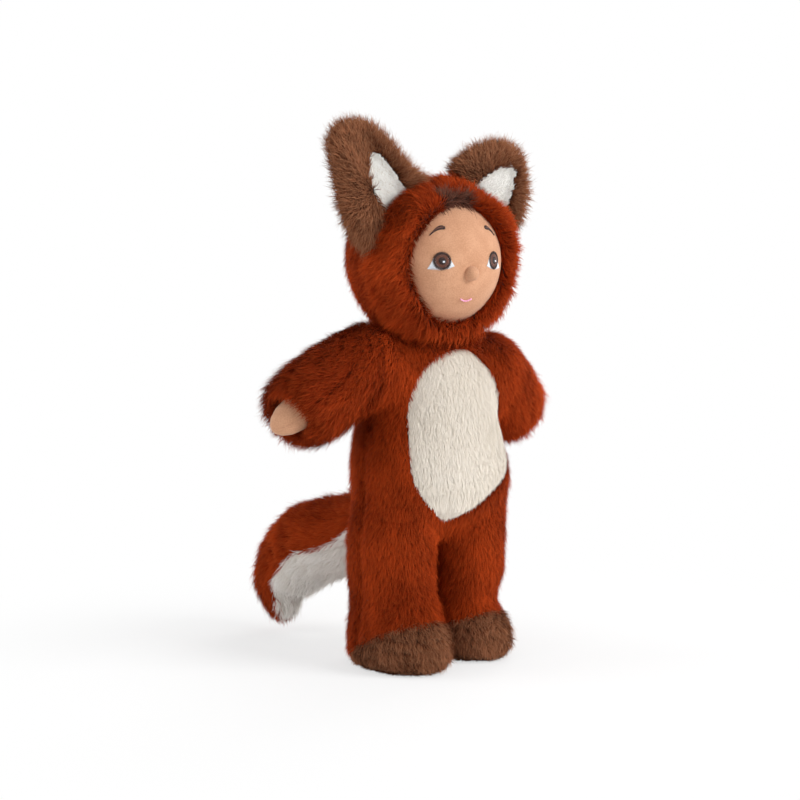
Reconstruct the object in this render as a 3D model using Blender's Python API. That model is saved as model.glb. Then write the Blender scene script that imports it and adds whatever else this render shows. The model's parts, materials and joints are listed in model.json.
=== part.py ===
# A soft doll in a furry fox suit, standing on its own feet.
#
# The body, legs, sleeves and tail are bags of fur cloth over stuffing. The head is a ball
# of plain cloth with an embroidered face, and a fur hood with two ears is sewn round it.
# The doll faces -Y and its right side is -X. The sizes below are taken from the floor point
# under the middle of the body, and the finished pieces stand with the middle of the right
# sole on the origin.
# Fur is held here as thickness: each skin's outside is the smoothed outside of its fur.
import bpy
import bmesh
from math import cos, pi, radians, sin, sqrt, tau
from mathutils import Matrix, Vector

# Clearances, walls and the overrun of cuts
GAP = 0.0003            # between pieces that are sewn or laid together
RUN = 0.0006            # between round pieces that turn about their own line
SWING = 0.0009          # between a ball-shaped end and the seat that it swings in
OVERRUN = 0.020         # how far a cutter runs past what it cuts
FUR = 0.0065            # fur cloth, its backing and its pile together
CLOTH = 0.0015          # plain cloth of the head

# Legs and feet
HIP_HEIGHT = 0.086
LEGS_APART = 0.002
LEG_HALF_WIDTH = 0.0305
LEG_HALF_DEPTH = 0.0350
ANKLE_TALL = 0.054
TOE_REACH = 0.0155
FOOT_SHARES = (             # height up the ankle, and how much of the toe's reach is left
    (0.00, 0.86), (0.14, 1.00), (0.38, 0.96), (0.60, 0.72), (0.80, 0.30), (1.00, 0.00),
)
SOLE_THICK = 0.0030
SOLE_INSET = 0.0012
CAP_BACK = 0.018            # where the brown foot's seam meets the sole, behind the middle
CAP_FRONT_HEIGHT = 0.039    # its height at the toe
LEG_FORWARD = radians(60)
LEG_BACKWARD = radians(20)

# Body
TORSO_LIFT = 0.010          # its lowest place above the hips
TORSO_TALL = 0.130
TORSO_HALF_WIDTH = 0.0580
TORSO_HALF_DEPTH = 0.0480
TORSO_SHARES = (        # height, width and depth as shares of the sizes above
    (0.00, 0.50, 0.46), (0.04, 0.74, 0.70), (0.11, 0.92, 0.87), (0.21, 0.99, 0.96),
    (0.34, 1.00, 1.00), (0.47, 0.95, 0.98), (0.60, 0.87, 0.92), (0.72, 0.80, 0.86),
    (0.83, 0.73, 0.80), (0.92, 0.63, 0.71), (1.00, 0.42, 0.50),
)
PANEL_LIFT = 0.008          # its lowest place above that of the body
PANEL_TALL = 0.113
PANEL_HALF_WIDTH = 0.041
PANEL_SHARES = (        # height and half-width of the cream panel
    (0.00, 0.06), (0.09, 0.62), (0.17, 0.85), (0.30, 1.00), (0.58, 0.98), (0.76, 0.86), (0.87, 0.68),
    (0.95, 0.46), (1.00, 0.22),
)

# Head, hood and neck
HEAD_FORWARD = 0.002
HEAD_LIFT = 0.0025          # between the top of the body and the cloth of the head
HEAD_RADIUS = 0.0485
HOOD_THICK = 0.0115         # the hood's fur cloth and the long pile on it
HOOD_SEAM_FORWARD = 0.009   # the seam between front and back of the hood, ahead of the centre
FACE_HALF_WIDTH = 0.0365
FACE_HALF_TALL = 0.0395
FACE_DROP = 0.005           # middle of the face opening below the middle of the head
NECK_RADIUS = 0.015
NECK_DEEP = 0.026           # how far the neck runs down into the body
HEAD_OPENING_RADIUS = 0.010
NOD = radians(12)

# Hair and face
HAIR_LIFT = 0.0005          # between the face opening and the tuft
HAIR_HALF_WIDTH = 0.016
HAIR_HALF_TALL = 0.0075
HAIR_THICK = 0.0085
THREAD = 0.0005             # thickness of one layer of embroidery
EYE_APART = 0.021           # middle of the head to the middle of an eye
EYE_HALF_WIDTH = 0.0088
EYE_HALF_TALL = 0.0040
EYE_DROP = 0.0020           # middle of the white below the middle of the iris
IRIS_HALF_WIDTH = 0.0051
IRIS_HALF_TALL = 0.0056
BROW_RISE = 0.0212
BROW_HALF_WIDTH = 0.0052
BROW_TALL = 0.0012
BROW_ARCH = 0.0022
MOUTH_DROP = 0.0262
MOUTH_HALF_WIDTH = 0.0044
MOUTH_TALL = 0.0012
MOUTH_SAG = 0.0016
NOSE_DROP = 0.0085
NOSE_RADIUS = 0.0047
NOSE_STAND = 0.0012         # nose middle outside the cloth

# Ears, seen from the front, along the base and away from it
EAR_HALF_THICK = 0.0085
EAR_LEAN = radians(12)      # how far an ear tips forward and back on its seam
EAR_LINING_THICK = 0.0030
EAR_TALL_RIGHT = 0.070
EAR_TALL_LEFT = 0.047
EAR_BASE_SHARES = {         # base ends from the middle of the head: outer x and z, inner x and z
    "right": (-0.9583, 0.0833, -0.2250, 0.9417),
    "left": (1.0917, 0.3500, 0.1667, 1.0250),
}
EAR_SHARES = {              # along the base from the outer end, and away from it
    "right": (
        (-1.00, -0.10), (-1.08, 0.10), (-1.05, 0.26), (-0.82, 0.46), (-0.46, 0.70), (-0.24, 0.86),
        (0.00, 1.01), (0.33, 1.06), (0.63, 1.02), (0.90, 0.90), (1.05, 0.70), (1.04, 0.42),
        (1.00, 0.16), (0.97, -0.10),
    ),
    "left": (
        (-0.98, -0.10), (-1.00, 0.22), (-0.82, 0.58), (-0.44, 0.92), (0.04, 1.01), (0.52, 0.84),
        (0.92, 0.44), (1.06, 0.16), (1.04, -0.10),
    ),
}
LINING_SHARES = {
    "right": (
        (-0.22, -0.06), (-0.14, 0.14), (-0.02, 0.33), (0.20, 0.50), (0.52, 0.60), (0.60, 0.44),
        (0.52, 0.16), (0.46, -0.06),
    ),
    "left": (
        (-0.50, -0.06), (-0.50, 0.14), (-0.42, 0.40), (-0.28, 0.64), (-0.10, 0.66), (0.12, 0.46),
        (0.32, 0.14), (0.38, -0.06),
    ),
}

# Arms
SHOULDER_IN = 0.008         # inside the widest place of the body
SHOULDER_DROP = 0.024       # below the top of the body
SLEEVE_RADIUS = 0.0295
SLEEVE_LENGTH = 0.074
SLEEVE_SHARES = (           # length from the shoulder and radius
    (0.00, 0.92), (0.25, 0.96), (0.50, 1.00), (0.75, 1.03), (0.90, 0.98), (1.00, 0.80),
)
CUFF_SHARE = 0.80           # where the inside of the sleeve narrows to the cuff
CUFF_ROOM = 0.0035          # round the hand in the cuff's mouth
SEAT_SHARE = 0.55           # how much of a limb's length passes near the body
HAND_DEEP = 0.027           # how far the hand reaches back into the sleeve
HAND_LENGTH = 0.036
HAND_RADIUS = 0.0125
HAND_SHARES = ((0.00, 0.80), (0.25, 0.98), (0.55, 1.00), (0.80, 0.78), (0.94, 0.45))
ARM_POSES = {               # droop below level and sweep behind the side, then how far down and up
    "right": (radians(21), radians(-3), radians(20), radians(55)),
    "left": (radians(38), radians(33), radians(4), radians(70)),
}

# Tail: its middle line is a route through these named places
TAIL_ROOT_LIFT = 0.006      # above the lowest place of the body
TAIL_SIDE = 0.042           # how far the tip lies to the right
TAIL_BACK = 0.101           # from the root back to the furthest place
TAIL_DROP = 0.088           # from the root down to the tip
TAIL_SHARES = (             # side, back and drop of each place on the route
    (0.00, 0.00, 0.00), (0.11, 0.20, 0.11), (0.28, 0.48, 0.29), (0.60, 0.80, 0.42),
    (0.95, 1.00, 0.72), (1.04, 0.95, 0.99),
)
TAIL_RADIUS = 0.0305
TAIL_RADIUS_SHARES = (0.54, 0.72, 0.87, 1.00, 0.77, 0.20)
TAIL_HUB_SHARE = (0.40, 0.45, 0.80)     # the place that the tail curls round
TAIL_TIP_WALL_SHARE = 0.5
TAIL_LIFT = radians(30)
TAIL_LOWER = radians(5)

# Counts
ROUND = 24
ROUND_INSIDE = 14
ROUND_HEAD = 32
STACKS_HEAD = 16
STACKS_INSIDE = 9
STACKS_SEAT = 12
DOME_STEPS = 5
ROUTE_STEPS = 2

# Places that follow from the sizes
TORSO_BOTTOM = HIP_HEIGHT + TORSO_LIFT
TORSO_TOP = TORSO_BOTTOM + TORSO_TALL
PANEL_BOTTOM = TORSO_BOTTOM + PANEL_LIFT
NECK_BOTTOM = TORSO_TOP - NECK_DEEP
HEAD_HEIGHT = TORSO_TOP + HEAD_LIFT + HEAD_RADIUS
HOOD_RADIUS = HEAD_RADIUS + HOOD_THICK
HAIR_RISE = FACE_HALF_TALL - FACE_DROP + HAIR_LIFT + HAIR_HALF_TALL
SHOULDER_OUT = TORSO_HALF_WIDTH - SHOULDER_IN
SHOULDER_HEIGHT = TORSO_TOP - SHOULDER_DROP
CUFF_MOUTH_RADIUS = HAND_RADIUS + CUFF_ROOM
HAND_START = SLEEVE_LENGTH - HAND_DEEP
TAIL_ROOT_HEIGHT = TORSO_BOTTOM + TAIL_ROOT_LIFT
HEAD_CENTRE = Vector((0, -HEAD_FORWARD, HEAD_HEIGHT))
HIP_OUT = LEG_HALF_WIDTH + LEGS_APART / 2
SIDES = {"right": -1, "left": 1}
STAND = Matrix.Translation((HIP_OUT, TOE_REACH * FOOT_SHARES[0][1] / 2, 0))

# Colours and roughness, from the photograph
LOOKS = {
    "rust_fur": ((0.26, 0.032, 0.008), 0.95),
    "cream_fur": ((0.72, 0.66, 0.55), 0.95),
    "white_fur": ((0.80, 0.78, 0.72), 0.95),
    "brown_fur": ((0.20, 0.095, 0.055), 0.95),
    "brown_sole": ((0.10, 0.050, 0.030), 0.90),
    "skin_cloth": ((0.67, 0.39, 0.24), 0.85),
    "stuffing": ((0.85, 0.85, 0.82), 1.00),
    "hair": ((0.09, 0.035, 0.030), 0.90),
    "white_thread": ((0.85, 0.85, 0.83), 0.60),
    "brown_thread": ((0.10, 0.030, 0.020), 0.55),
    "pink_thread": ((0.83, 0.35, 0.50), 0.60),
}


def material(name):
    """The Principled material of one named look, made once."""
    if name in bpy.data.materials:
        return bpy.data.materials[name]
    colour, roughness = LOOKS[name]
    made = bpy.data.materials.new(name)
    made.use_nodes = True
    shader = made.node_tree.nodes["Principled BSDF"]
    shader.inputs["Base Color"].default_value = (*colour, 1)
    shader.inputs["Roughness"].default_value = roughness
    shader.inputs["Metallic"].default_value = 0
    return made


def band(mesh, low, high):
    """Faces between two rows of points, either of which may be a single pole."""
    count = max(len(low), len(high))
    for i in range(count):
        after = (i + 1) % count
        corners = [low[i % len(low)], low[after % len(low)], high[after % len(high)], high[i % len(high)]]
        mesh.faces.new(list(dict.fromkeys(corners)))


def body(name, rings, frame=Matrix(), look=None):
    """A closed body over a row of rings. Without a look it is a cutter."""
    shape = bmesh.new()
    rows = [[shape.verts.new(point) for point in ring] for ring in rings]
    for low, high in zip(rows, rows[1:]):
        band(shape, low, high)
    for end in (rows[0], rows[-1]):
        if len(end) > 1:
            shape.faces.new(end)
    bmesh.ops.recalc_face_normals(shape, faces=shape.faces)
    mesh = bpy.data.meshes.new(name)
    shape.to_mesh(mesh)
    shape.free()
    made = bpy.data.objects.new(name, mesh)
    bpy.context.scene.collection.objects.link(made)
    made.matrix_world = STAND @ frame
    if look is None:
        made.hide_render = True
        made.display_type = "WIRE"
        return made
    mesh.materials.append(material(look))
    mesh.shade_smooth()
    mesh.set_sharp_from_angle(angle=radians(40))
    return made


def carve(target, cutter, operation="DIFFERENCE"):
    """Cut the target with the cutter, or keep only what lies inside it."""
    change = target.modifiers.new(cutter.name, "BOOLEAN")
    change.solver = "EXACT"
    change.operation = operation
    change.object = cutter


def oval(middle, half_width, half_depth, count):
    """A level ring of points."""
    turns = [tau * i / count for i in range(count)]
    return [middle + Vector((half_width * cos(a), half_depth * sin(a), 0)) for a in turns]


def globe(radius, count=ROUND_HEAD, stacks=STACKS_HEAD, narrower=0):
    """Rings of a ball round the origin, pole to pole. It may be narrower along X."""
    rings = [[Vector((0, 0, -radius))]]
    for step in range(1, stacks):
        a = pi * step / stacks - pi / 2
        middle = Vector((0, 0, radius * sin(a)))
        rings.append(oval(middle, (radius - narrower) * cos(a), radius * cos(a), count))
    return rings + [[Vector((0, 0, radius))]]


def prism(outline, depth_from, depth_to):
    """Two rings from an outline of x and z, one at each y."""
    return [[Vector((x, y, z)) for x, z in outline] for y in (depth_from, depth_to)]


def bar(radius, low, high, count=ROUND_INSIDE):
    """An upright round bar."""
    return [oval(Vector((0, 0, z)), radius, radius, count) for z in (low, high)]


def swung(point, axis, angle):
    """Turns the world about an axis through a point."""
    return Matrix.Translation(point) @ Matrix.Rotation(angle, 4, axis) @ Matrix.Translation(-point)


def route(points, steps):
    """Points on a smooth curve through the given ones, of any dimension."""
    ends = [points[0] * 2 - points[1], *points, points[-1] * 2 - points[-2]]
    made = []
    for a, b, c, d in zip(ends, ends[1:], ends[2:], ends[3:]):
        for step in range(steps):
            t = step / steps
            made.append(b + (c - a) * (t / 2) + (a * 2 - b * 5 + c * 4 - d) * (t * t / 2)
                        + (b * 3 - a - c * 3 + d) * (t ** 3 / 2))
    return made + [points[-1]]


def hull(name, points, frame=Matrix()):
    """The tightest cutter with no hollows round some points."""
    shape = bmesh.new()
    for point in points:
        shape.verts.new(point)
    made = bmesh.ops.convex_hull(shape, input=shape.verts)
    inside = [v for v in made["geom_interior"] if v.is_valid]
    bmesh.ops.delete(shape, geom=inside, context="VERTS")
    bmesh.ops.recalc_face_normals(shape, faces=shape.faces)
    mesh = bpy.data.meshes.new(name)
    shape.to_mesh(mesh)
    shape.free()
    cutter = bpy.data.objects.new(name, mesh)
    bpy.context.scene.collection.objects.link(cutter)
    cutter.matrix_world = STAND @ frame
    cutter.hide_render = True
    cutter.display_type = "WIRE"
    return cutter


def torso_depth(height):
    """How far the body's form reaches back at a height."""
    up = (height - TORSO_BOTTOM) / (TORSO_TOP - TORSO_BOTTOM)
    for low, high in zip(TORSO_SHARES, TORSO_SHARES[1:]):
        if low[0] <= up <= high[0]:
            t = (up - low[0]) / (high[0] - low[0])
            return TORSO_HALF_DEPTH * (low[2] + (high[2] - low[2]) * t)
    return 0


def tail_root():
    """The tail's hinge, on the back of the body."""
    return Vector((0, torso_depth(TAIL_ROOT_HEIGHT) + GAP, TAIL_ROOT_HEIGHT))


def seat(name, ball, ends, frame, place, axis, angles):
    """One cutter for all that a round-topped limb passes: its ball, and its far ring at each angle."""
    points = [frame @ p for ring in ball for p in ring]
    for angle in angles:
        turn = swung(place, axis, angle) @ frame
        points += [turn @ p for p in ends]
    return hull(name, points)


def fork_height(extra):
    """Height of the ridge where the two grown leg seats meet, at the middle of the body."""
    grow = SWING + extra
    share = min(1, HIP_OUT / (LEG_HALF_WIDTH + grow))
    return HIP_HEIGHT + (LEG_HALF_DEPTH + grow) * sqrt(1 - share * share)


def torso_rings(inset, count=ROUND):
    """The body's form, drawn in on all sides by the inset. Inside, it ends above the fork."""
    low = fork_height(inset) + RUN if inset > 0 else TORSO_BOTTOM + inset
    tall = TORSO_TOP - inset - low
    rings = []
    for up, wide, deep in TORSO_SHARES:
        middle = Vector((0, 0, low + up * tall))
        rings.append(oval(middle, TORSO_HALF_WIDTH * wide - inset, TORSO_HALF_DEPTH * deep - inset, count))
    return rings


def hip(side):
    """Frame of a hip: the middle of the leg's round top."""
    return Matrix.Translation((SIDES[side] * HIP_OUT, 0, HIP_HEIGHT))


def leg_rings(inset, drop=0, count=ROUND):
    """A leg and foot below a round top, in the hip's frame. Drop runs it out below the foot."""
    floor = SOLE_THICK + GAP - HIP_HEIGHT
    wide = LEG_HALF_WIDTH - inset
    deep = LEG_HALF_DEPTH - inset
    rings = []
    for up, toe in FOOT_SHARES:
        reach = TOE_REACH * toe
        middle = Vector((0, -reach / 2, floor + ANKLE_TALL * up))
        rings.append(oval(middle, wide, deep + reach / 2, count))
    if drop:
        rings.insert(0, [point - Vector((0, 0, drop)) for point in rings[0]])
    for step in range(DOME_STEPS):
        a = pi / 2 * step / DOME_STEPS
        rings.append(oval(Vector((0, 0, deep * sin(a))), wide * cos(a), deep * cos(a), count))
    return rings + [[Vector((0, 0, deep))]]


def shoulder(side):
    """Frame of a shoulder with the arm along its own Z, its place, its raising axis and its angles."""
    droop, sweep, lower, higher = ARM_POSES[side]
    level = Vector((SIDES[side] * cos(sweep), sin(sweep), 0))
    along = level * cos(droop) - Vector((0, 0, sin(droop)))
    place = Vector((SIDES[side] * SHOULDER_OUT, 0, SHOULDER_HEIGHT))
    turn = along.to_track_quat("Z", "Y").to_matrix().to_4x4()
    return Matrix.Translation(place) @ turn, place, Vector((level.y, -level.x, 0)), (-lower, 0, higher)


def sleeve_rings(inset, end_share=1, count=ROUND):
    """A sleeve with a round top, along Z from the shoulder."""
    top = SLEEVE_RADIUS * SLEEVE_SHARES[0][1] - inset
    rings = [[Vector((0, 0, -top))]]
    for step in range(1, DOME_STEPS):
        a = pi / 2 * (step / DOME_STEPS - 1)
        rings.append(oval(Vector((0, 0, top * sin(a))), top * cos(a), top * cos(a), count))
    for along, wide in SLEEVE_SHARES:
        if along <= end_share:
            radius = SLEEVE_RADIUS * wide - inset
            rings.append(oval(Vector((0, 0, SLEEVE_LENGTH * along)), radius, radius, count))
    return rings


def head_frame():
    return Matrix.Translation(HEAD_CENTRE)


def ear_frame(side):
    """Frame of an ear: X along its base from left to right, Z away from the head."""
    outer_x, outer_z, inner_x, inner_z = EAR_BASE_SHARES[side]
    seam = HEAD_CENTRE - Vector((0, HOOD_SEAM_FORWARD, 0))
    outer = seam + Vector((outer_x, 0, outer_z)) * HOOD_RADIUS
    inner = seam + Vector((inner_x, 0, inner_z)) * HOOD_RADIUS
    along = (inner - outer).normalized() * -SIDES[side]
    away = along.cross(Vector((0, 1, 0)))
    turn = Matrix((along, Vector((0, 1, 0)), away)).transposed().to_4x4()
    middle = (inner + outer) / 2
    tall = EAR_TALL_RIGHT if side == "right" else EAR_TALL_LEFT
    return Matrix.Translation(middle) @ turn, middle, along, (inner - outer).length / 2, tall


def sockets(extra):
    """Cutters for all that seats in the body, grown by the extra."""
    grow = SWING + extra
    cuts = [body("seat_head", globe(HOOD_RADIUS + grow), head_frame())]
    arm_ball = globe(SLEEVE_RADIUS * SLEEVE_SHARES[0][1] + grow, ROUND, STACKS_SEAT)
    arm_wide = SLEEVE_RADIUS + grow
    arm_end = oval(Vector((0, 0, SLEEVE_LENGTH * SEAT_SHARE)), arm_wide, arm_wide, ROUND)
    slim = LEG_HALF_DEPTH - LEG_HALF_WIDTH
    leg_ball = globe(LEG_HALF_DEPTH + grow, ROUND, STACKS_SEAT, slim)
    leg_low = Vector((0, 0, -HIP_HEIGHT * SEAT_SHARE))
    leg_end = oval(leg_low, LEG_HALF_WIDTH + grow, LEG_HALF_DEPTH + grow, ROUND)
    for side in SIDES:
        frame, place, axis, swing = shoulder(side)
        cuts.append(seat("seat_arm", arm_ball, arm_end, frame, place, axis, swing))
        frame = hip(side)
        swing = (-LEG_FORWARD, 0, LEG_BACKWARD)
        cuts.append(seat("seat_leg", leg_ball, leg_end, frame, frame.translation, Vector((1, 0, 0)), swing))
    return cuts


def panel_prism(grow):
    """Cutter for the cream panel, through the front wall only."""
    return prism(panel_outline(grow), -TORSO_HALF_DEPTH - OVERRUN, -TORSO_HALF_DEPTH / 2)


def panel_outline(grow):
    """The cream panel's outline, x and z, grown all round."""
    right = []
    for up, wide in PANEL_SHARES:
        height = PANEL_BOTTOM - grow + (PANEL_TALL + 2 * grow) * up
        right.append((PANEL_HALF_WIDTH * wide + grow, height))
    return right + [(-x, z) for x, z in reversed(right)]


def torso_shell(name, look, cavity, cuts, neck_hole):
    """The body's fur cloth, whole, before the panel is parted from it."""
    shell = body(name, torso_rings(0), look=look)
    for cutter in (*cuts, cavity, neck_hole):
        carve(shell, cutter)
    return shell


def make_torso():
    """Fur body with its cream panel, and its stuffing."""
    cavity = body("torso_cavity", torso_rings(FUR, ROUND_INSIDE))
    for cutter in sockets(FUR):
        carve(cavity, cutter)
    low = NECK_BOTTOM - GAP - HEAD_HEIGHT
    high = TORSO_TOP + OVERRUN - HEAD_HEIGHT
    neck_hole = body("neck_hole", bar(NECK_RADIUS + RUN, low, high), head_frame())
    cuts = sockets(0)
    skin = torso_shell("torso_skin", "rust_fur", cavity, cuts, neck_hole)
    carve(skin, body("panel_hole", panel_prism(GAP)))
    panel = torso_shell("belly_panel", "cream_fur", cavity, cuts, neck_hole)
    carve(panel, body("panel_shape", panel_prism(0)), "INTERSECT")
    filling = body("torso_filling", torso_rings(FUR + GAP, ROUND_INSIDE), look="stuffing")
    for cutter in (*sockets(FUR + GAP), neck_hole):
        carve(filling, cutter)


def make_neck():
    """Stuffed neck between body and head, round about the line that the head turns on."""
    low = NECK_BOTTOM - HEAD_HEIGHT
    high = -HEAD_RADIUS / 2
    neck = body("neck", bar(NECK_RADIUS, low, high), head_frame(), "skin_cloth")
    carve(neck, body("neck_end", globe(HEAD_RADIUS + SWING), head_frame()))


def make_head():
    """Cloth ball, open over the neck, with its stuffing."""
    skin = body("head_skin", globe(HEAD_RADIUS), head_frame(), "skin_cloth")
    carve(skin, body("head_cavity", globe(HEAD_RADIUS - CLOTH, ROUND, STACKS_INSIDE), head_frame()))
    carve(skin, body("head_opening", bar(HEAD_OPENING_RADIUS, -HEAD_RADIUS - OVERRUN, 0), head_frame()))
    stuffed = globe(HEAD_RADIUS - CLOTH - GAP, ROUND, STACKS_INSIDE)
    body("head_filling", stuffed, head_frame(), "stuffing")


def hair_outline(grow):
    turns = [tau * i / ROUND_INSIDE for i in range(ROUND_INSIDE)]
    wide = HAIR_HALF_WIDTH + grow
    tall = HAIR_HALF_TALL + grow
    return [(wide * cos(a), HAIR_RISE + tall * sin(a)) for a in turns]


def make_hood():
    """Fur hood in a front and a back part, open at the face and over the neck."""
    turns = [tau * i / ROUND for i in range(ROUND)]
    face = [(FACE_HALF_WIDTH * cos(a), FACE_HALF_TALL * sin(a) - FACE_DROP) for a in turns]
    reach = HOOD_RADIUS + OVERRUN
    opening = NECK_RADIUS + HOOD_RADIUS * sin(NOD) + 2 * RUN
    cuts = [
        body("hood_inside", globe(HEAD_RADIUS + GAP), head_frame()),
        body("face_opening", prism(face, -reach, -HOOD_SEAM_FORWARD), head_frame()),
        body("hair_notch", prism(hair_outline(GAP), -reach, -HOOD_SEAM_FORWARD), head_frame()),
        body("neck_way", bar(opening, -reach, -HEAD_RADIUS / 2), head_frame()),
    ]
    square = [(-reach, -reach), (reach, -reach), (reach, reach), (-reach, reach)]
    for name, behind in (("hood_front", True), ("hood_back", False)):
        part = body(name, globe(HOOD_RADIUS), head_frame(), "rust_fur")
        for cutter in cuts:
            carve(part, cutter)
        seam = -HOOD_SEAM_FORWARD - GAP / 2 if behind else -HOOD_SEAM_FORWARD + GAP / 2
        past = reach if behind else -reach
        carve(part, body(name + "_seam", prism(square, seam, past), head_frame()))


def make_hair():
    """Tuft of hair at the top of the face, in the hood's notch."""
    depth = HEAD_RADIUS + HAIR_THICK
    tuft = body("hair_tuft", prism(hair_outline(0), -depth, -HEAD_RADIUS / 4), head_frame(), "hair")
    carve(tuft, body("hair_outside", globe(depth), head_frame()), "INTERSECT")
    carve(tuft, body("hair_inside", globe(HEAD_RADIUS + GAP), head_frame()))


def stitched(name, columns, layer, look):
    """Embroidery on the front of the head from columns of x, lowest z and highest z."""
    inner = HEAD_RADIUS + GAP + layer * (THREAD + GAP)
    rings = []
    for x, low, high in columns:
        ring = []
        for radius, heights in ((inner, (low, (low + high) / 2, high)),
                                (inner + THREAD, (high, (low + high) / 2, low))):
            ring += [Vector((x, -sqrt(radius ** 2 - x * x - z * z), z)) for z in heights]
        rings.append(ring)
    body(name, rings, head_frame(), look)


def disc_columns(x, z, half_width, half_tall, count=7):
    """Columns of an oval patch, blunt at both ends."""
    columns = []
    for i in range(count):
        a = pi * (i + 0.5) / count
        columns.append((x - half_width * cos(a), z - half_tall * sin(a), z + half_tall * sin(a)))
    return columns


def arc_columns(x, z, half_width, tall, rise, count=5):
    """Columns of a bent line, blunt at both ends. Rise lifts its middle."""
    columns = []
    for i in range(count):
        t = 2 * i / (count - 1) - 1
        middle = z + rise * (1 - t * t)
        half = tall / 2 * (1 - t * t / 2)
        columns.append((x + half_width * t, middle - half, middle + half))
    return columns


def make_face():
    """Eyes, brows, mouth and nose on the cloth of the head."""
    for side, sign in SIDES.items():
        x = sign * EYE_APART
        white = disc_columns(x, -EYE_DROP, EYE_HALF_WIDTH, EYE_HALF_TALL)
        stitched("eye_white_" + side, white, 0, "white_thread")
        stitched("iris_" + side, disc_columns(x, 0, IRIS_HALF_WIDTH, IRIS_HALF_TALL), 1, "brown_thread")
        brow = arc_columns(x, BROW_RISE, BROW_HALF_WIDTH, BROW_TALL, BROW_ARCH)
        stitched("brow_" + side, brow, 0, "brown_thread")
    smile = arc_columns(0, -MOUTH_DROP, MOUTH_HALF_WIDTH, MOUTH_TALL, -MOUTH_SAG)
    stitched("mouth", smile, 0, "pink_thread")
    middle = HEAD_CENTRE + Vector((0, -sqrt((HEAD_RADIUS + NOSE_STAND) ** 2 - NOSE_DROP ** 2), -NOSE_DROP))
    nose = body("nose", globe(NOSE_RADIUS, 12, 8), Matrix.Translation(middle), "skin_cloth")
    carve(nose, body("nose_seat", globe(HEAD_RADIUS + GAP), head_frame()))


def pillow(outline, front, back, steps=3):
    """Rings of a flat padded form over an outline of x and z, from the front to the back."""
    count = len(outline)
    middle = sum(outline, Vector((0, 0))) / count
    rings = [[Vector((middle.x, -front, middle.y))]]
    for step in range(1, 2 * steps):
        a = pi / 2 * step / steps
        size, depth = sin(a), cos(a)
        y = -front * depth if depth > 0 else -back * depth
        rings.append([Vector((middle.x + (p.x - middle.x) * size, y, middle.y + (p.y - middle.y) * size))
                      for p in outline])
    return rings + [[Vector((middle.x, back, middle.y))]]


def ear_outline(shares, side, half_base, tall, grow=0):
    """An ear's outline in its own frame, from shares of its base and height."""
    points = [Vector((x * half_base * -SIDES[side], z * tall)) for x, z in shares[side]]
    loop = route(points, 2)
    middle = sum(loop, Vector((0, 0))) / len(loop)
    return [p + (p - middle).normalized() * grow for p in loop]


def make_ear(side):
    """Brown ear with a white lining let into its front, on the hood's seam."""
    frame, place, axis, half_base, tall = ear_frame(side)
    outline = ear_outline(EAR_SHARES, side, half_base, tall)
    ear = body("ear_back_" + side, pillow(outline, EAR_HALF_THICK, EAR_HALF_THICK), frame, "brown_fur")
    shape = ear_outline(LINING_SHARES, side, half_base, tall)
    lining_rings = pillow(shape, EAR_LINING_THICK, EAR_LINING_THICK, 2)
    shift = Matrix.Translation((0, -EAR_HALF_THICK, 0))
    lining = body("ear_lining_" + side, lining_rings, frame @ shift, "white_fur")
    hole = ear_outline(LINING_SHARES, side, half_base, tall, GAP)
    depth = EAR_LINING_THICK + GAP
    notch = pillow(hole, EAR_HALF_THICK + OVERRUN, depth, 2)
    carve(ear, body("lining_notch", notch, frame @ shift))
    for angle in (-EAR_LEAN, 0, EAR_LEAN):
        seat = swung(place, axis, angle) @ head_frame()
        cutter = body("seat_ear", globe(HOOD_RADIUS + SWING), seat)
        carve(ear, cutter)
        carve(lining, cutter)


def make_arm(side):
    """Sleeve with an open cuff, its stuffing and the cloth hand."""
    frame = shoulder(side)[0]
    sleeve = body("sleeve_" + side, sleeve_rings(0), frame, "rust_fur")
    inside = sleeve_rings(FUR, CUFF_SHARE, ROUND_INSIDE)
    cuff = [SLEEVE_LENGTH * (1 + CUFF_SHARE) / 2, SLEEVE_LENGTH + OVERRUN]
    mouth = [oval(Vector((0, 0, z)), CUFF_MOUTH_RADIUS, CUFF_MOUTH_RADIUS, ROUND_INSIDE) for z in cuff]
    carve(sleeve, body("sleeve_cavity", inside + mouth, frame))
    stuffed = [ring for ring in sleeve_rings(FUR + GAP, 1, ROUND_INSIDE) if ring[0].z < HAND_START - GAP]
    last = [point - Vector((0, 0, stuffed[-1][0].z - HAND_START + GAP)) for point in stuffed[-1]]
    body("arm_filling_" + side, stuffed + [last], frame, "stuffing")
    hand = []
    for along, wide in HAND_SHARES:
        middle = Vector((0, 0, HAND_START + HAND_LENGTH * along))
        hand.append(oval(middle, HAND_RADIUS * wide, HAND_RADIUS * wide, ROUND_INSIDE))
    hand.append([Vector((0, 0, HAND_START + HAND_LENGTH))])
    body("hand_" + side, hand, frame, "skin_cloth")


def cap_outline(lift):
    """Side view of what lies under the brown foot's seam, y and z in the hip's frame."""
    floor = -HIP_HEIGHT
    toe = -LEG_HALF_DEPTH - TOE_REACH
    slope = CAP_FRONT_HEIGHT / (CAP_BACK - toe)
    front = toe - OVERRUN
    back = CAP_BACK + OVERRUN
    return [(front, floor + lift + (CAP_BACK - front) * slope),
            (front, floor - OVERRUN),
            (back, floor - OVERRUN),
            (back, floor + lift - OVERRUN * slope)]


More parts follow.
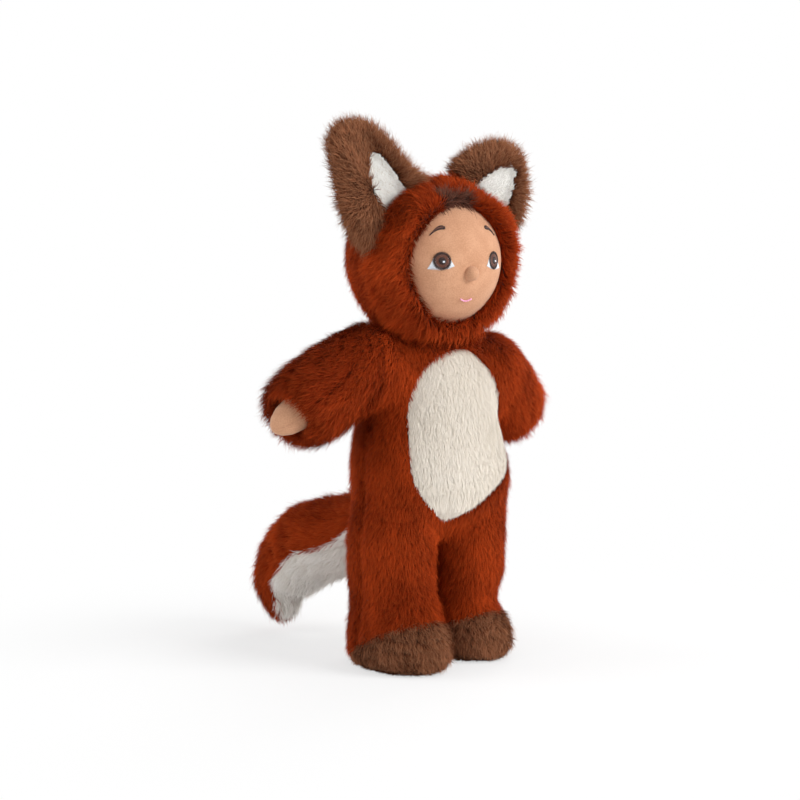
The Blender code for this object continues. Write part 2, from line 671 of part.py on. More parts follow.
def make_leg(side):
    """Fur leg, brown foot, sole and stuffing."""
    frame = hip(side)
    cavity = body("leg_cavity", leg_rings(FUR, OVERRUN, ROUND_INSIDE), frame)
    reach = LEG_HALF_WIDTH + OVERRUN
    for name, look, lift, operation in (
        ("leg_skin_" + side, "rust_fur", GAP / 2, "DIFFERENCE"),
        ("foot_cap_" + side, "brown_fur", -GAP / 2, "INTERSECT"),
    ):
        part = body(name, leg_rings(0), frame, look)
        carve(part, cavity)
        rings = [[Vector((x, y, z)) for y, z in cap_outline(lift)] for x in (-reach, reach)]
        carve(part, body(name + "_seam", rings, frame), operation)
    body("leg_filling_" + side, leg_rings(FUR + GAP, 0, ROUND_INSIDE), frame, "stuffing")
    floor = leg_rings(SOLE_INSET)[0]
    sole = [[Vector((p.x, p.y, z - HIP_HEIGHT)) for p in floor] for z in (0, SOLE_THICK)]
    body("sole_" + side, sole, frame, "brown_sole")


def tail_stations():
    """Middle, radius, tangent and outward direction at each station of the tail."""
    reach = Vector((-TAIL_SIDE, TAIL_BACK, -TAIL_DROP))
    places = [Vector(share) * reach for share in TAIL_SHARES]
    middles = route(places, ROUTE_STEPS)
    radii = [p.x for p in route([Vector((r * TAIL_RADIUS, 0)) for r in TAIL_RADIUS_SHARES], ROUTE_STEPS)]
    hub = Vector(TAIL_HUB_SHARE) * reach
    stations = []
    for i, (middle, radius) in enumerate(zip(middles, radii)):
        tangent = (middles[min(i + 1, len(middles) - 1)] - middles[max(i - 1, 0)]).normalized()
        out = middle - hub
        out = (out - tangent * out.dot(tangent)).normalized()
        stations.append((middle, radius, tangent, out))
    return stations


def tail_point(middle, tangent, out, radius, angle):
    return middle + out * (radius * cos(angle)) + tangent.cross(out) * (radius * sin(angle))


def tail_half(sign):
    """Rings of one half of the tail's skin. The sign is 1 for the outside of the curl."""
    start = 0 if sign > 0 else pi
    count = ROUND_INSIDE // 2 + 1
    rings = []
    for middle, radius, tangent, out in tail_stations():
        inner = max(radius - FUR, radius * TAIL_TIP_WALL_SHARE)
        turns = [start - pi / 2 + pi * i / (count - 1) for i in range(count)]
        place = middle + out * (sign * GAP / 2)
        ring = [tail_point(place, tangent, out, radius, a) for a in turns]
        ring += [tail_point(place, tangent, out, inner, a) for a in reversed(turns)]
        rings.append(ring)
    return rings


def make_tail():
    """Rust outside and white inside of the curled tail, over its stuffing."""
    root = tail_root()
    frame = Matrix.Translation(root)
    filling = []
    for middle, radius, tangent, out in tail_stations()[:-1]:
        inner = max(radius - FUR, radius * TAIL_TIP_WALL_SHARE) - SWING
        turns = [tau * i / ROUND_INSIDE - pi / 2 for i in range(ROUND_INSIDE)]
        filling.append([tail_point(middle, tangent, out, inner, a) for a in turns])
    parts = [
        body("tail_top", tail_half(1), frame, "rust_fur"),
        body("tail_underside", tail_half(-1), frame, "white_fur"),
        body("tail_filling", filling, frame, "stuffing"),
    ]
    for angle in (-TAIL_LIFT, 0, TAIL_LOWER):
        back = body("seat_tail", torso_rings(-RUN), swung(root, Vector((1, 0, 0)), angle))
        for part in parts:
            carve(part, back)


def main():
    for old in list(bpy.data.objects):
        bpy.data.objects.remove(old, do_unlink=True)
    make_torso()
    make_neck()
    make_head()
    make_hood()
    make_hair()
    make_face()
    for side in SIDES:
        make_ear(side)
        make_arm(side)
        make_leg(side)
    make_tail()


main()
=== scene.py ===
# %% [markdown]
# # A soft doll in a furry fox suit
# The doll has a cloth head and cloth hands in a suit of fur cloth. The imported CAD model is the
# frame: it says where each joint, sole and seam lies. The pieces made here dress it.
# %% Load the frame
import json
from math import cos, pi, radians, sin, tau

import bmesh
import bpy
import numpy as np
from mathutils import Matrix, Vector
from mathutils.bvhtree import BVHTree


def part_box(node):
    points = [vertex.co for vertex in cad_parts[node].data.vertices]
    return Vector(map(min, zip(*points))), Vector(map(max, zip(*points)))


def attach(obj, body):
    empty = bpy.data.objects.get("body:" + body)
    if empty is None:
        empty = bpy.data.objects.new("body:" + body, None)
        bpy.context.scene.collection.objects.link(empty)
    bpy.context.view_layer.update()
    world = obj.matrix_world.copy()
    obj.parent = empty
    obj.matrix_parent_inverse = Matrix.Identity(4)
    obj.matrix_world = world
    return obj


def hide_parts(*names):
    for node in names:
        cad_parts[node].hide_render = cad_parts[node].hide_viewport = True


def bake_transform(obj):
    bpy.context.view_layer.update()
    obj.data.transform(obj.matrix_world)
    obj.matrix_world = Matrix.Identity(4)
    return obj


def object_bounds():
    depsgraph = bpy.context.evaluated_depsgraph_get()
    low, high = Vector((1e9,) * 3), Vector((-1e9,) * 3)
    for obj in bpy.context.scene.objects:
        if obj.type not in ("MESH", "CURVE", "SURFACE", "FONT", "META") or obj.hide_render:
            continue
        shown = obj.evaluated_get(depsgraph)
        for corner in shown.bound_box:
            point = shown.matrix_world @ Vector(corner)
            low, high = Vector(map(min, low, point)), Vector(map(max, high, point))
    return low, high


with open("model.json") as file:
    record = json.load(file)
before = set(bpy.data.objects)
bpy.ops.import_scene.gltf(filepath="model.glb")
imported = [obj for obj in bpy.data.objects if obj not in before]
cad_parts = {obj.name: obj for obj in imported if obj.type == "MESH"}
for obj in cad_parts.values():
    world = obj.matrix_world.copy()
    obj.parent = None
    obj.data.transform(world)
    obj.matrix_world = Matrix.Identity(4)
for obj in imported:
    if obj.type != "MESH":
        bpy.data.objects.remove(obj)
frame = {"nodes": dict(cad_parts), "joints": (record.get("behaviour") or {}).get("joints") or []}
cad_box = [list(corner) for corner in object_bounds()]
mm = 0.001
joints = {joint["name"]: joint for joint in frame["joints"]}
SIDES = {"right": -1, "left": 1}
print("CAD box", cad_box)

# %% [markdown]
# ## Places
# Each limb swings on a joint of the frame, so the middle of the body, the hips, the shoulders
# and the head are read from the joints. The two arms are sewn on at different angles, so each
# has its own droop below level and its own sweep to the back.
# %% Places on the doll
def place_of(joint):
    return np.array(joints[joint]["pos_m"])


hips = {side: place_of(f"leg_{side}_swing") for side in SIDES}
shoulders = {side: place_of(f"arm_{side}_raise") for side in SIDES}
head = place_of("neck_turn")
middle = (hips["right"] + hips["left"]) / 2 * (1, 1, 0)
ARM_TURNS = {"right": (radians(21), radians(-3)), "left": (radians(38), radians(33))}
level, along = {}, {}
for side, (droop, sweep) in ARM_TURNS.items():
    level[side] = np.array((SIDES[side] * cos(sweep), sin(sweep), 0))
    along[side] = level[side] * cos(droop) - np.array((0, 0, sin(droop)))
print("middle", middle, "head", head)

# %% [markdown]
# ## Sums with sockets
# A node tree is easier to read as sums. A Wire holds one socket, and each sign between wires
# adds one Math node, or one Vector Math node where a wire carries a vector. A Board adds any
# other node: its type, its settings, then the values or wires of its inputs.
# %% Wires and boards
class Wire:
    """A socket that takes part in sums."""

    def __init__(self, board, socket):
        self.board, self.socket = board, socket
        self.many = socket.type in ("VECTOR", "RGBA")

    def also(self, name):
        return Wire(self.board, self.socket.node.outputs[name])

    def __add__(self, other):
        return self.board.sum("ADD", self, other)

    def __sub__(self, other):
        return self.board.sum("SUBTRACT", self, other)

    def __rsub__(self, other):
        return self.board.sum("SUBTRACT", other, self)

    def __mul__(self, other):
        return self.board.sum("MULTIPLY", self, other)

    def __truediv__(self, other):
        return self.board.sum("DIVIDE", self, other)

    def __rtruediv__(self, other):
        return self.board.sum("DIVIDE", other, self)

    def __pow__(self, other):
        return self.board.sum("POWER", self, other)

    __radd__, __rmul__ = __add__, __mul__


class Board:
    """A node tree, with one method that adds any node."""

    def __init__(self, tree):
        self.tree = tree

    def plug(self, socket, value):
        if isinstance(value, Wire):
            self.tree.links.new(value.socket, socket)
        else:
            socket.default_value = value

    def add(self, kind, settings=None, inputs=None, out=0):
        node = self.tree.nodes.new(kind)
        for name, value in (settings or {}).items():
            setattr(node, name, value)
        for key, value in (inputs or {}).items():
            self.plug(node.inputs[key], value)
        return Wire(self, node.outputs[out]) if len(node.outputs) else None

    def sum(self, operation, *values):
        many = any(isinstance(value, Wire) and value.many for value in values)
        kind = "ShaderNodeVectorMath" if many else "ShaderNodeMath"
        wide = [(v,) * 3 if many and isinstance(v, (int, float)) else v for v in values]
        return self.add(kind, {"operation": operation}, dict(enumerate(wide)))

    def dot(self, a, b):
        return self.add("ShaderNodeVectorMath", {"operation": "DOT_PRODUCT"}, {0: a, 1: b}, "Value")

    def unit(self, a):
        return self.add("ShaderNodeVectorMath", {"operation": "NORMALIZE"}, {0: a})

    def split(self, value):
        """The three parts of a vector."""
        apart = self.add("ShaderNodeSeparateXYZ", inputs={0: value})
        return [apart.also(axis) for axis in "XYZ"]

    def vector(self, **parts):
        return self.add("ShaderNodeCombineXYZ", inputs=parts)

    def noise(self, place, scale, detail):
        return self.add("ShaderNodeTexNoise", inputs={"Vector": place, "Scale": scale, "Detail": detail})

    def mix(self, share, a, b):
        return self.add("ShaderNodeMix", {"data_type": "RGBA"}, {0: share, 6: a, 7: b}, 2)

    def between(self, value, low, high):
        """0 at low, 1 at high, and held between the two."""
        inputs = {"Value": value, "From Min": low, "From Max": high}
        return self.add("ShaderNodeMapRange", {"interpolation_type": "SMOOTHSTEP"}, inputs)


# %% [markdown]
# ## Finishes
# Fur cloth is dark at the root of its pile and lighter at the tips, and no two strands have
# quite the same dye. Each strand brings a map: across the map lies the strand's own tone, and
# up the map lies its height. The colour reads only that map, so it stays on the strand in
# every pose. The cloths and threads have fine bumps from noise in the piece's own space.
# %% Kinds of finish
def paint(colour):
    """A colour of 0 to 255 as it looks on a screen, made linear for the shader."""
    return (*(((c / 255 + 0.055) / 1.055) ** 2.4 if c > 10 else c / 3295 for c in colour), 1)


def new_finish(name, roughness, sheen=0.0, gloss=0.3):
    made = bpy.data.materials.new(name)
    made.use_nodes = True
    shader = made.node_tree.nodes["Principled BSDF"]
    shader.inputs["Roughness"].default_value = roughness
    shader.inputs["Sheen Weight"].default_value = sheen
    shader.inputs["Specular IOR Level"].default_value = gloss
    return made, Board(made.node_tree), shader


def pile_finish(name, *dyes):
    """Fur. The dyes are those of its roots, its dark strands, its light strands and its tips."""
    root, dark, light, tip = map(paint, dyes)
    made, board, shader = new_finish(name, 0.75, gloss=0.04)
    tone, height, _ = board.split(board.add("ShaderNodeUVMap", {"uv_map": "OFBake"}))
    grown = board.mix(board.between(height, 0.0, 0.55), root, board.mix(tone, dark, light))
    grown = board.mix(board.between(height, 0.5, 1.0) * 0.5, grown, tip)
    board.plug(shader.inputs["Base Color"], grown)
    return made


def cloth_finish(name, colour, shade, grain, depth, roughness=0.85, sheen=0.2):
    """Plain cloth: a fine mottle of two colours and a fine bump."""
    made, board, shader = new_finish(name, roughness, sheen)
    place = board.add("ShaderNodeTexCoord").also("Object")
    fine, broad = board.noise(place, grain, 3.0), board.noise(place, grain / 12, 2.0)
    spots = board.between(fine * 0.6 + broad * 0.4, 0.35, 0.65)
    board.plug(shader.inputs["Base Color"], board.mix(spots, paint(shade), paint(colour)))
    bump = {"Strength": 0.6, "Distance": depth, "Height": fine}
    board.plug(shader.inputs["Normal"], board.add("ShaderNodeBump", inputs=bump))
    return made


def thread_finish(name, colour, shade, roughness=0.5):
    return cloth_finish(name, colour, shade, 2500, 0.05 * mm, roughness)


# %% [markdown]
# The six dyes of the pile, the backings under it, and the other cloths and threads.
# %% Colours
RUST = pile_finish("rust pile", (88, 22, 2), (122, 34, 5), (180, 64, 20), (200, 88, 40))
CREAM = pile_finish("cream pile", (232, 222, 208), (234, 225, 211), (242, 234, 222), (246, 240, 231))
WHITE = pile_finish("white pile", (240, 232, 222), (246, 240, 231), (254, 251, 246), (255, 255, 252))
BROWN = pile_finish("brown pile", (60, 30, 16), (102, 55, 33), (166, 106, 74), (188, 138, 104))
HAIR = pile_finish("hair pile", (40, 21, 16), (74, 41, 32), (116, 75, 60), (130, 91, 76))
LINING = pile_finish("lining pile", (246, 244, 238), (250, 249, 244), (255, 254, 250), (255, 255, 252))
BACKING_COLOURS = {
    "rust": ((84, 22, 5), (60, 14, 3)),
    "cream": ((236, 228, 216), (226, 216, 202)),
    "brown": ((84, 54, 38), (64, 40, 28)),
    "hair": ((52, 30, 28), (40, 22, 22)),
}
UNDER = {dye: cloth_finish(dye + " backing", *pair, 900, 0.3 * mm) for dye, pair in BACKING_COLOURS.items()}
SKIN = cloth_finish("skin cloth", (204, 154, 121), (188, 137, 104), 1100, 0.15 * mm, 0.9, 0.1)
SOLE = cloth_finish("sole cloth", (86, 50, 33), (58, 32, 20), 700, 0.5 * mm, 0.95, 0.0)
STUFFING = cloth_finish("stuffing", (240, 240, 236), (215, 215, 208), 500, 0.8 * mm)
DARK_THREAD = thread_finish("dark thread", (50, 24, 18), (32, 14, 10))
BROWN_THREAD = thread_finish("brown thread", (112, 66, 48), (82, 44, 32))
WHITE_THREAD = thread_finish("white thread", (250, 253, 255), (226, 234, 244))
PINK_THREAD = thread_finish("pink thread", (252, 186, 214), (236, 150, 190))
SEAM_THREAD = thread_finish("seam thread", (196, 142, 112), (176, 122, 92), 0.6)
print(len(bpy.data.materials), "finishes")

# %% [markdown]
# ## Forms as fields
# The suit is one bag: legs, arms and body run into each other with soft folds, not with the
# hard corners of joined solids. A field gives, for each point, how far it lies outside the
# form, and two fields blend where they meet. Flat outlines are smooth curves through a few
# points.
# %% Fields and curves
def blend_out(a, b, soft):
    """The union of two forms, with a fillet."""
    share = np.clip(0.5 + 0.5 * (b - a) / soft, 0, 1)
    return b + (a - b) * share - soft * share * (1 - share)


def blend_in(a, b, soft):
    """What lies inside both forms, with a rounded edge."""
    return -blend_out(-a, -b, soft)


def oval_field(x, y, wide, deep):
    """Distance outside an oval, along the ray from its middle."""
    scale = np.sqrt((x / wide) ** 2 + (y / deep) ** 2 + 1e-9)
    reach = np.sqrt(x * x + y * y + 1e-9 * wide * deep)
    return reach - reach / scale


def bump_at(distance, spread):
    """1 at no distance, and soon nought beyond the spread."""
    return np.exp(-(distance / spread) ** 2)


def curve_step(a, b, c, d, s):
    """The place at share s of the way from b to c, on a smooth curve through a, b, c and d."""
    return (b + (c - a) * s / 2 + (2 * a - 5 * b + 4 * c - d) * s * s / 2
            + (3 * b - a - 3 * c + d) * s ** 3 / 2)


def smooth_loop(points, steps=3):
    """Points on a smooth closed curve."""
    four = [np.roll(np.array(points, float), shift, 0) for shift in (1, 0, -1, -2)]
    return np.stack([curve_step(*four, s) for s in np.arange(steps) / steps], 1).reshape(-1, 2)


def smooth_route(points, steps):
    """Points on a smooth open curve."""
    p = np.concatenate([[2 * points[0] - points[1]], points, [2 * points[-1] - points[-2]]])
    rows = [curve_step(*four, s) for four in zip(p, p[1:], p[2:], p[3:]) for s in np.arange(steps) / steps]
    return np.array(rows + [points[-1]])


def outline_field(x, z, loop):
    """Distance outside a flat closed outline."""
    q = np.stack([x, z], 1)
    best, inside = np.full(len(q), 1.0), np.zeros(len(q), bool)
    for a, b in zip(loop, np.roll(loop, -1, 0)):
        span = b - a
        t = np.clip((q - a) @ span / (span @ span), 0, 1)
        best = np.minimum(best, np.linalg.norm(q - a - t[:, None] * span, axis=1))
        if a[1] != b[1]:
            crosses = (a[1] > z) != (b[1] > z)
            inside ^= crosses & (x < a[0] + (z - a[1]) / (b[1] - a[1]) * (b[0] - a[0]))
    return np.where(inside, -best, best)


# %% [markdown]
# ## A skin round a field
# The skin is laid where the field is nought: one point in each small cell that the surface
# passes, pulled onto the surface, and one face round each grid edge that it crosses.
# %% The skin of a field
def slope_of(field, points, value, small):
    """How fast a field grows along each axis."""
    return np.stack([(field(points + small * axis) - value) / small for axis in np.eye(3)], 1)


def settle(points, field, rounds=3):
    """Pulls points onto the place where a field is nought."""
    longest = 0.6 * mm
    for _ in range(rounds):
        value = field(points)
        slope = slope_of(field, points, value, 0.2 * mm)
        size = np.sqrt(np.maximum((slope ** 2).sum(1), 0.1))
        move = np.clip(value / size, -longest, longest)
        points = points - (move / size)[:, None] * slope
    return points


def skin_of(field, low, high, step):
    """Points and four-cornered faces on the surface of a field."""
    counts = [int((b - a) / step) + 2 for a, b in zip(low, high)]
    axes = [a + step * np.arange(n) for a, n in zip(low, counts)]
    grid = np.stack(np.meshgrid(*axes, indexing="ij"), -1)
    value = field(grid.reshape(-1, 3)).reshape(counts)
    inside = value < 0
    corners = [(i, j, k) for i in (0, 1) for j in (0, 1) for k in (0, 1)]
    views = [inside[tuple(slice(o, o + n - 1) for o, n in zip(c, counts))] for c in corners]
    number = sum(view.astype(int) for view in views)
    live = (number > 0) & (number < 8)
    index = np.full(live.shape, -1)
    index[live] = np.arange(live.sum())
    cells, ways = np.argwhere(live), np.eye(3, dtype=int)
    total, met = np.zeros((len(cells), 3)), np.zeros(len(cells))
    for c in corners:
        for way in (way for axis, way in enumerate(ways) if not c[axis]):
            a, b = tuple((cells + c).T), tuple((cells + c + way).T)
            crossed = inside[a] != inside[b]
            share = np.where(crossed, value[a] / np.where(crossed, value[a] - value[b], 1), 0)
            total += np.where(crossed[:, None], grid[a] + share[:, None] * step * way, 0)
            met += crossed
    points = settle(total / met[:, None], field)
    faces = []
    for axis in range(3):
        u, v = ways[(axis + 1) % 3], ways[(axis + 2) % 3]
        starts = np.argwhere(np.diff(inside.astype(int), axis=axis) != 0)
        starts = starts[(starts - u - v >= 0).all(1) & (starts < np.array(counts) - 1).all(1)]
        quads = np.stack([index[tuple((starts - s).T)] for s in (0 * u, u, u + v, v)], 1)
        outward = inside[tuple(starts.T)]
        quads[~outward] = quads[~outward][:, ::-1]
        faces.append(quads[(quads >= 0).all(1)])
    return points, np.concatenate(faces)


# %% [markdown]
# ## Parts of a node tree
# Pile and stitches are each made by a Geometry Nodes tree. These helpers start a tree with
# named inputs, keep a value on a shape, read it back and draw a number for each strand.
# %% Tree helpers
def tree_with(name, inputs, output):
    """An empty Geometry Nodes tree with named inputs, and what its inputs give."""
    tree = bpy.data.node_groups.new(name, "GeometryNodeTree")
    for label, kind, value in inputs:
        socket = tree.interface.new_socket(label, in_out="INPUT", socket_type=kind)
        if value is not None:
            socket.default_value = value
    tree.interface.new_socket(output, in_out="OUTPUT", socket_type="NodeSocketGeometry")
    board = Board(tree)
    return tree, board, board.add("NodeGroupInput").also


def finish_tree(board, shape, finish):
    """Ends a tree: the shape gets its finish and goes out."""
    shape = board.add("GeometryNodeSetMaterial", inputs={"Geometry": shape, "Material": finish})
    board.add("NodeGroupOutput", inputs={0: shape})


def made_real(board, shape):
    shape = board.add("GeometryNodeRealizeInstances", inputs={0: shape})
    return board.add("GeometryNodeSetShadeSmooth", inputs={0: shape})


def chance(board, low, high, seed, extra):
    """A random number for each strand."""
    inputs = {2: low, 3: high, "Seed": seed + extra}
    return board.add("FunctionNodeRandomValue", {"data_type": "FLOAT"}, inputs, 1)


def keep_as(board, shape, name, value, domain="POINT", kind="FLOAT"):
    inputs = {"Geometry": shape, "Name": name, "Value": value}
    return board.add("GeometryNodeStoreNamedAttribute", {"data_type": kind, "domain": domain}, inputs)


def carried(board, name, kind="FLOAT"):
    return board.add("GeometryNodeInputNamedAttribute", {"data_type": kind}, {"Name": name})


# %% [markdown]
# ## The pile
# Pile is thousands of short strands. The tree scatters points on a skin, stands a flat
# tapering blade on each, lays it the way the skin is combed, and draws the tips in each small
# cell together, which gives the tufts of real fur. The skin carries three things for it: comb,
# a direction; reach, the length as a share; and cover, how densely it grows. A strand's tone
# wanders from patch to patch: the broad patches are partly the dye's own uneven tone and partly
# painted sheen highlights. Short strands are painted darker, as painted shade in seams, creases
# and hollows, and the tree's Shade paints a whole piece of cloth lighter or darker for how the
# light falls on it: painted light where it is raised, painted shade where it is lowered.
# %% The pile tree
PILE_SIZES = {
    "Blades per area": 2.6e6, "Length": 8 * mm, "Width": 0.5 * mm, "Rise": 0.6, "Wild": 0.25, "Bend": 0.16,
    "Tuft size": 4 * mm, "Tuft pull": 0.6, "Draw": 0.6, "Uneven": 0.5, "Roll": 0.5, "Patchy": 1.0, "Shade": 0.0,
}
PILE_INPUTS = (
    ("Skin", "NodeSocketGeometry", None),
    *((label, "NodeSocketFloat", value) for label, value in PILE_SIZES.items()),
    ("Rows", "NodeSocketInt", 3), ("Seed", "NodeSocketInt", 0), ("Finish", "NodeSocketMaterial", None),
)


def blade(board, rows, bend):
    """One flat strand, 1 tall, that tapers to a point and bows outwards."""
    size = {"Size X": 1.0, "Size Y": 1.0, "Vertices X": 2, "Vertices Y": rows}
    sheet = board.add("GeometryNodeMeshGrid", inputs=size)
    across, up, _ = board.split(board.add("GeometryNodeInputPosition"))
    up = up + 0.5
    sheet = keep_as(board, keep_as(board, sheet, "up", up), "across", across)
    place = board.vector(X=across * -1.0 * (1 - up ** 1.8), Y=up * (1 - up) * 4.0 * bend, Z=up)
    sheet = board.add("GeometryNodeSetPosition", inputs={"Geometry": sheet, "Position": place})
    return board.add("GeometryNodeMergeByDistance", inputs={"Geometry": sheet, "Distance": 0.001})


def make_pile_tree():
    tree, board, given = tree_with("pile", PILE_INPUTS, "Pile")
    seed = given("Seed")
    density = given("Blades per area") * carried(board, "cover")
    scatter = {"Mesh": given("Skin"), "Density": density, "Seed": seed}
    points = board.add("GeometryNodeDistributePointsOnFaces", inputs=scatter)
    normal, place = points.also("Normal"), board.add("GeometryNodeInputPosition")
    # Which way a strand leans, and how long it is.
    comb = carried(board, "comb", "FLOAT_VECTOR")
    flat = board.unit(comb - normal * board.dot(comb, normal))
    spray = {0: (-1.0, -1.0, -1.0), 1: (1.0, 1.0, 1.0), "Seed": seed + 11.0}
    wild = board.add("FunctionNodeRandomValue", {"data_type": "FLOAT_VECTOR"}, spray) * given("Wild")
    lean = board.unit(flat + wild + normal * given("Rise"))
    drawn = place - flat * (board.dot(place, flat) * given("Draw"))
    wisps = board.noise(drawn, 0.55 / given("Tuft size"), 2.0)
    length = given("Length") * carried(board, "reach") * chance(board, 0.7, 1.15, seed, 23.0)
    length = length * (1 + (wisps - 0.5) * given("Uneven") * 3.0)
    # The tips of a tuft draw together.
    cells = {"Vector": drawn, "Scale": 1 / given("Tuft size")}
    toward = board.add("ShaderNodeTexVoronoi", inputs=cells).also("Position") - drawn
    toward = toward - normal * board.dot(toward, normal)
    tip = lean * length + toward * given("Tuft pull")
    tall = board.add("ShaderNodeVectorMath", {"operation": "LENGTH"}, {0: tip}, "Value")
    # Turn and scale a blade to match.
    axes = {"Primary Axis": tip, "Secondary Axis": normal}
    turn = board.add("FunctionNodeAxesToRotation", {"primary_axis": "Z", "secondary_axis": "Y"}, axes)
    roll = board.vector(Z=chance(board, -1.0, 1.0, seed, 31.0) * given("Roll"))
    roll = board.add("FunctionNodeEulerToRotation", inputs={0: roll})
    turns = {"Rotation": turn, "Rotate By": roll}
    turn = board.add("FunctionNodeRotateRotation", {"rotation_space": "LOCAL"}, turns)
    scale = board.vector(X=given("Width") * chance(board, 0.7, 1.3, seed, 41.0), Y=tall, Z=tall)
    laid = {"Points": points, "Instance": blade(board, given("Rows"), given("Bend")), "Rotation": turn,
            "Scale": scale}
    strands = board.add("GeometryNodeInstanceOnPoints", inputs=laid)
    # Its tone, and the map that the finish reads.
    # Partly painted sheen: the broad patches are partly the dye's uneven tone and partly painted highlights of sheen.
    tone_and_sheen_patches = board.noise(drawn, 30.0, 2.0)
    tone = (tone_and_sheen_patches - 0.5) * 1.8 * given("Patchy") + (wisps - 0.5) * given("Uneven") * 2.2
    # Painted shade: strands shorter than their full reach, at seams, creases, the cuff's mouth and the floor, get a
    # darker tone. Shade is painted light or painted shade for a whole piece.
    painted_crease_shade = board.sum("MINIMUM", carried(board, "reach"), 1.0) - 1
    tone = tone + chance(board, 0.38, 0.62, seed, 53.0) + given("Shade") + painted_crease_shade * 0.7
    tone = board.add("ShaderNodeClamp", inputs={"Value": tone, "Min": 0.0, "Max": 1.0})
    strands = made_real(board, keep_as(board, strands, "tone", tone, "INSTANCE"))
    u = carried(board, "tone") * 0.96 + 0.02 + carried(board, "across") * 0.02
    where = board.vector(X=u, Y=carried(board, "up") * 0.98 + 0.01)
    finish_tree(board, keep_as(board, strands, "OFBake", where, "CORNER", "FLOAT2"), given("Finish"))
    return tree


PILE = make_pile_tree()
print("pile tree:", len(PILE.nodes), "nodes")

# %% [markdown]
# ## Making pieces
# A skin becomes a mesh. A tree runs once on it, and its result is kept as a plain mesh while
# the modifier comes off. Tubes are rows of points round an axis.
# %% Helpers for pieces
def plain_lists(points, faces):
    return [tuple(p) for p in points], [tuple(int(i) for i in f) for f in faces]


def into_scene(name, mesh):
    made = bpy.data.objects.new(name, mesh)
    bpy.context.scene.collection.objects.link(made)
    return made


def piece(name, points, faces, finish):
    mesh = bpy.data.meshes.new(name)
    places, corners = plain_lists(points, faces)
    mesh.from_pydata(places, [], corners)
    mesh.materials.append(finish)
    mesh.shade_smooth()
    return into_scene(name, mesh)


def part_of(points, faces, keep):
    """The chosen faces of a skin and the points that they use."""
    chosen = faces[keep]
    used, flat = np.unique(chosen, return_inverse=True)
    return points[used], flat.reshape(chosen.shape)


def oval_row(x, y, z, wide, deep, count):
    return [(x + wide * cos(tau * i / count), y + deep * sin(tau * i / count), z) for i in range(count)]


def tube_faces(rows, count, capped=True):
    """The faces between rows of points, and the two ends if they are closed."""
    faces = []
    for r in range(rows - 1):
        for i in range(count):
            k = (i + 1) % count
            faces.append((count * r + i, count * r + k, count * (r + 1) + k, count * (r + 1) + i))
    last = count * (rows - 1)
    return faces + [tuple(reversed(range(count))), tuple(range(last, last + count))] if capped else faces


def carry(made, name, values):
    """Gives a skin one value for each point."""
    kind, field = ("FLOAT_VECTOR", "vector") if np.ndim(values) == 2 else ("FLOAT", "value")
    layer = made.data.attributes.new(name, kind, "POINT")
    layer.data.foreach_set(field, np.asarray(values, np.float32).ravel())


def plain_copy(made, name):
    """The evaluated object as a plain mesh in a new object."""
    graph = bpy.context.evaluated_depsgraph_get()
    mesh = bpy.data.meshes.new_from_object(made.evaluated_get(graph), depsgraph=graph)
    mesh.name = name
    return into_scene(name, mesh)


def run_tree(made, tree, name, sizes):
    """Runs a tree on an object with these inputs, and returns the result as a new piece."""
    change = made.modifiers.new(tree.name, "NODES")
    change.node_group = tree
    sockets = {item.name: item.identifier for item in tree.interface.items_tree if item.in_out == "INPUT"}
    for label, value in sizes.items():
        change[sockets[label]] = value
    result = plain_copy(made, name)
    made.modifiers.remove(change)
    return result


# %% [markdown]
# ## Fur cloth
# A patch of fur cloth is two pieces: its backing, which gets the thickness of cloth, and the
# pile that grows on it. No strand reaches down through the floor.
# %% Grow a patch of fur
CLOTH = 1.0 * mm
LOWEST_TIP = 0.2 * mm
dressed = {}


def grow(skin, name, finish, seed, **sizes):
    """Pile on a skin."""
    labels = {key.replace("_", " ").capitalize(): value for key, value in sizes.items()}
    pile = run_tree(skin, PILE, name, {"Finish": finish, "Seed": seed, **labels})
    for layer in ("up", "across", "tone", "comb", "reach", "cover"):
        if layer in pile.data.attributes:
            pile.data.attributes.remove(pile.data.attributes[layer])
    spots = np.empty(len(pile.data.vertices) * 3, np.float32)
    pile.data.vertices.foreach_get("co", spots)
    spots[2::3] = np.maximum(spots[2::3], LOWEST_TIP)
    pile.data.vertices.foreach_set("co", spots)
    print(f"{name}: {len(pile.data.polygons)} faces")
    return pile


def thicken(made, depth):
    wall = made.modifiers.new("wall", "SOLIDIFY")
    wall.thickness, wall.offset = depth, -1
    thick = plain_copy(made, made.name + "_wall")
    made.modifiers.clear()
    made.data = thick.data
    bpy.data.objects.remove(thick)


def fur(name, points, faces, comb, reach, finish, under, seed, **sizes):
    """One patch of fur cloth: its backing and its pile."""
    skin = piece(name + "_cloth", points, faces, under)
    layers = {"comb": comb, "reach": reach, "cover": np.ones(len(points))}
    for layer, values in layers.items():
        carry(skin, layer, values)
    pile = grow(skin, name + "_pile", finish, seed, **sizes)
    for layer in layers:
        skin.data.attributes.remove(skin.data.attributes[layer])
    thicken(skin, CLOTH)
    dressed[name] = (skin, pile)


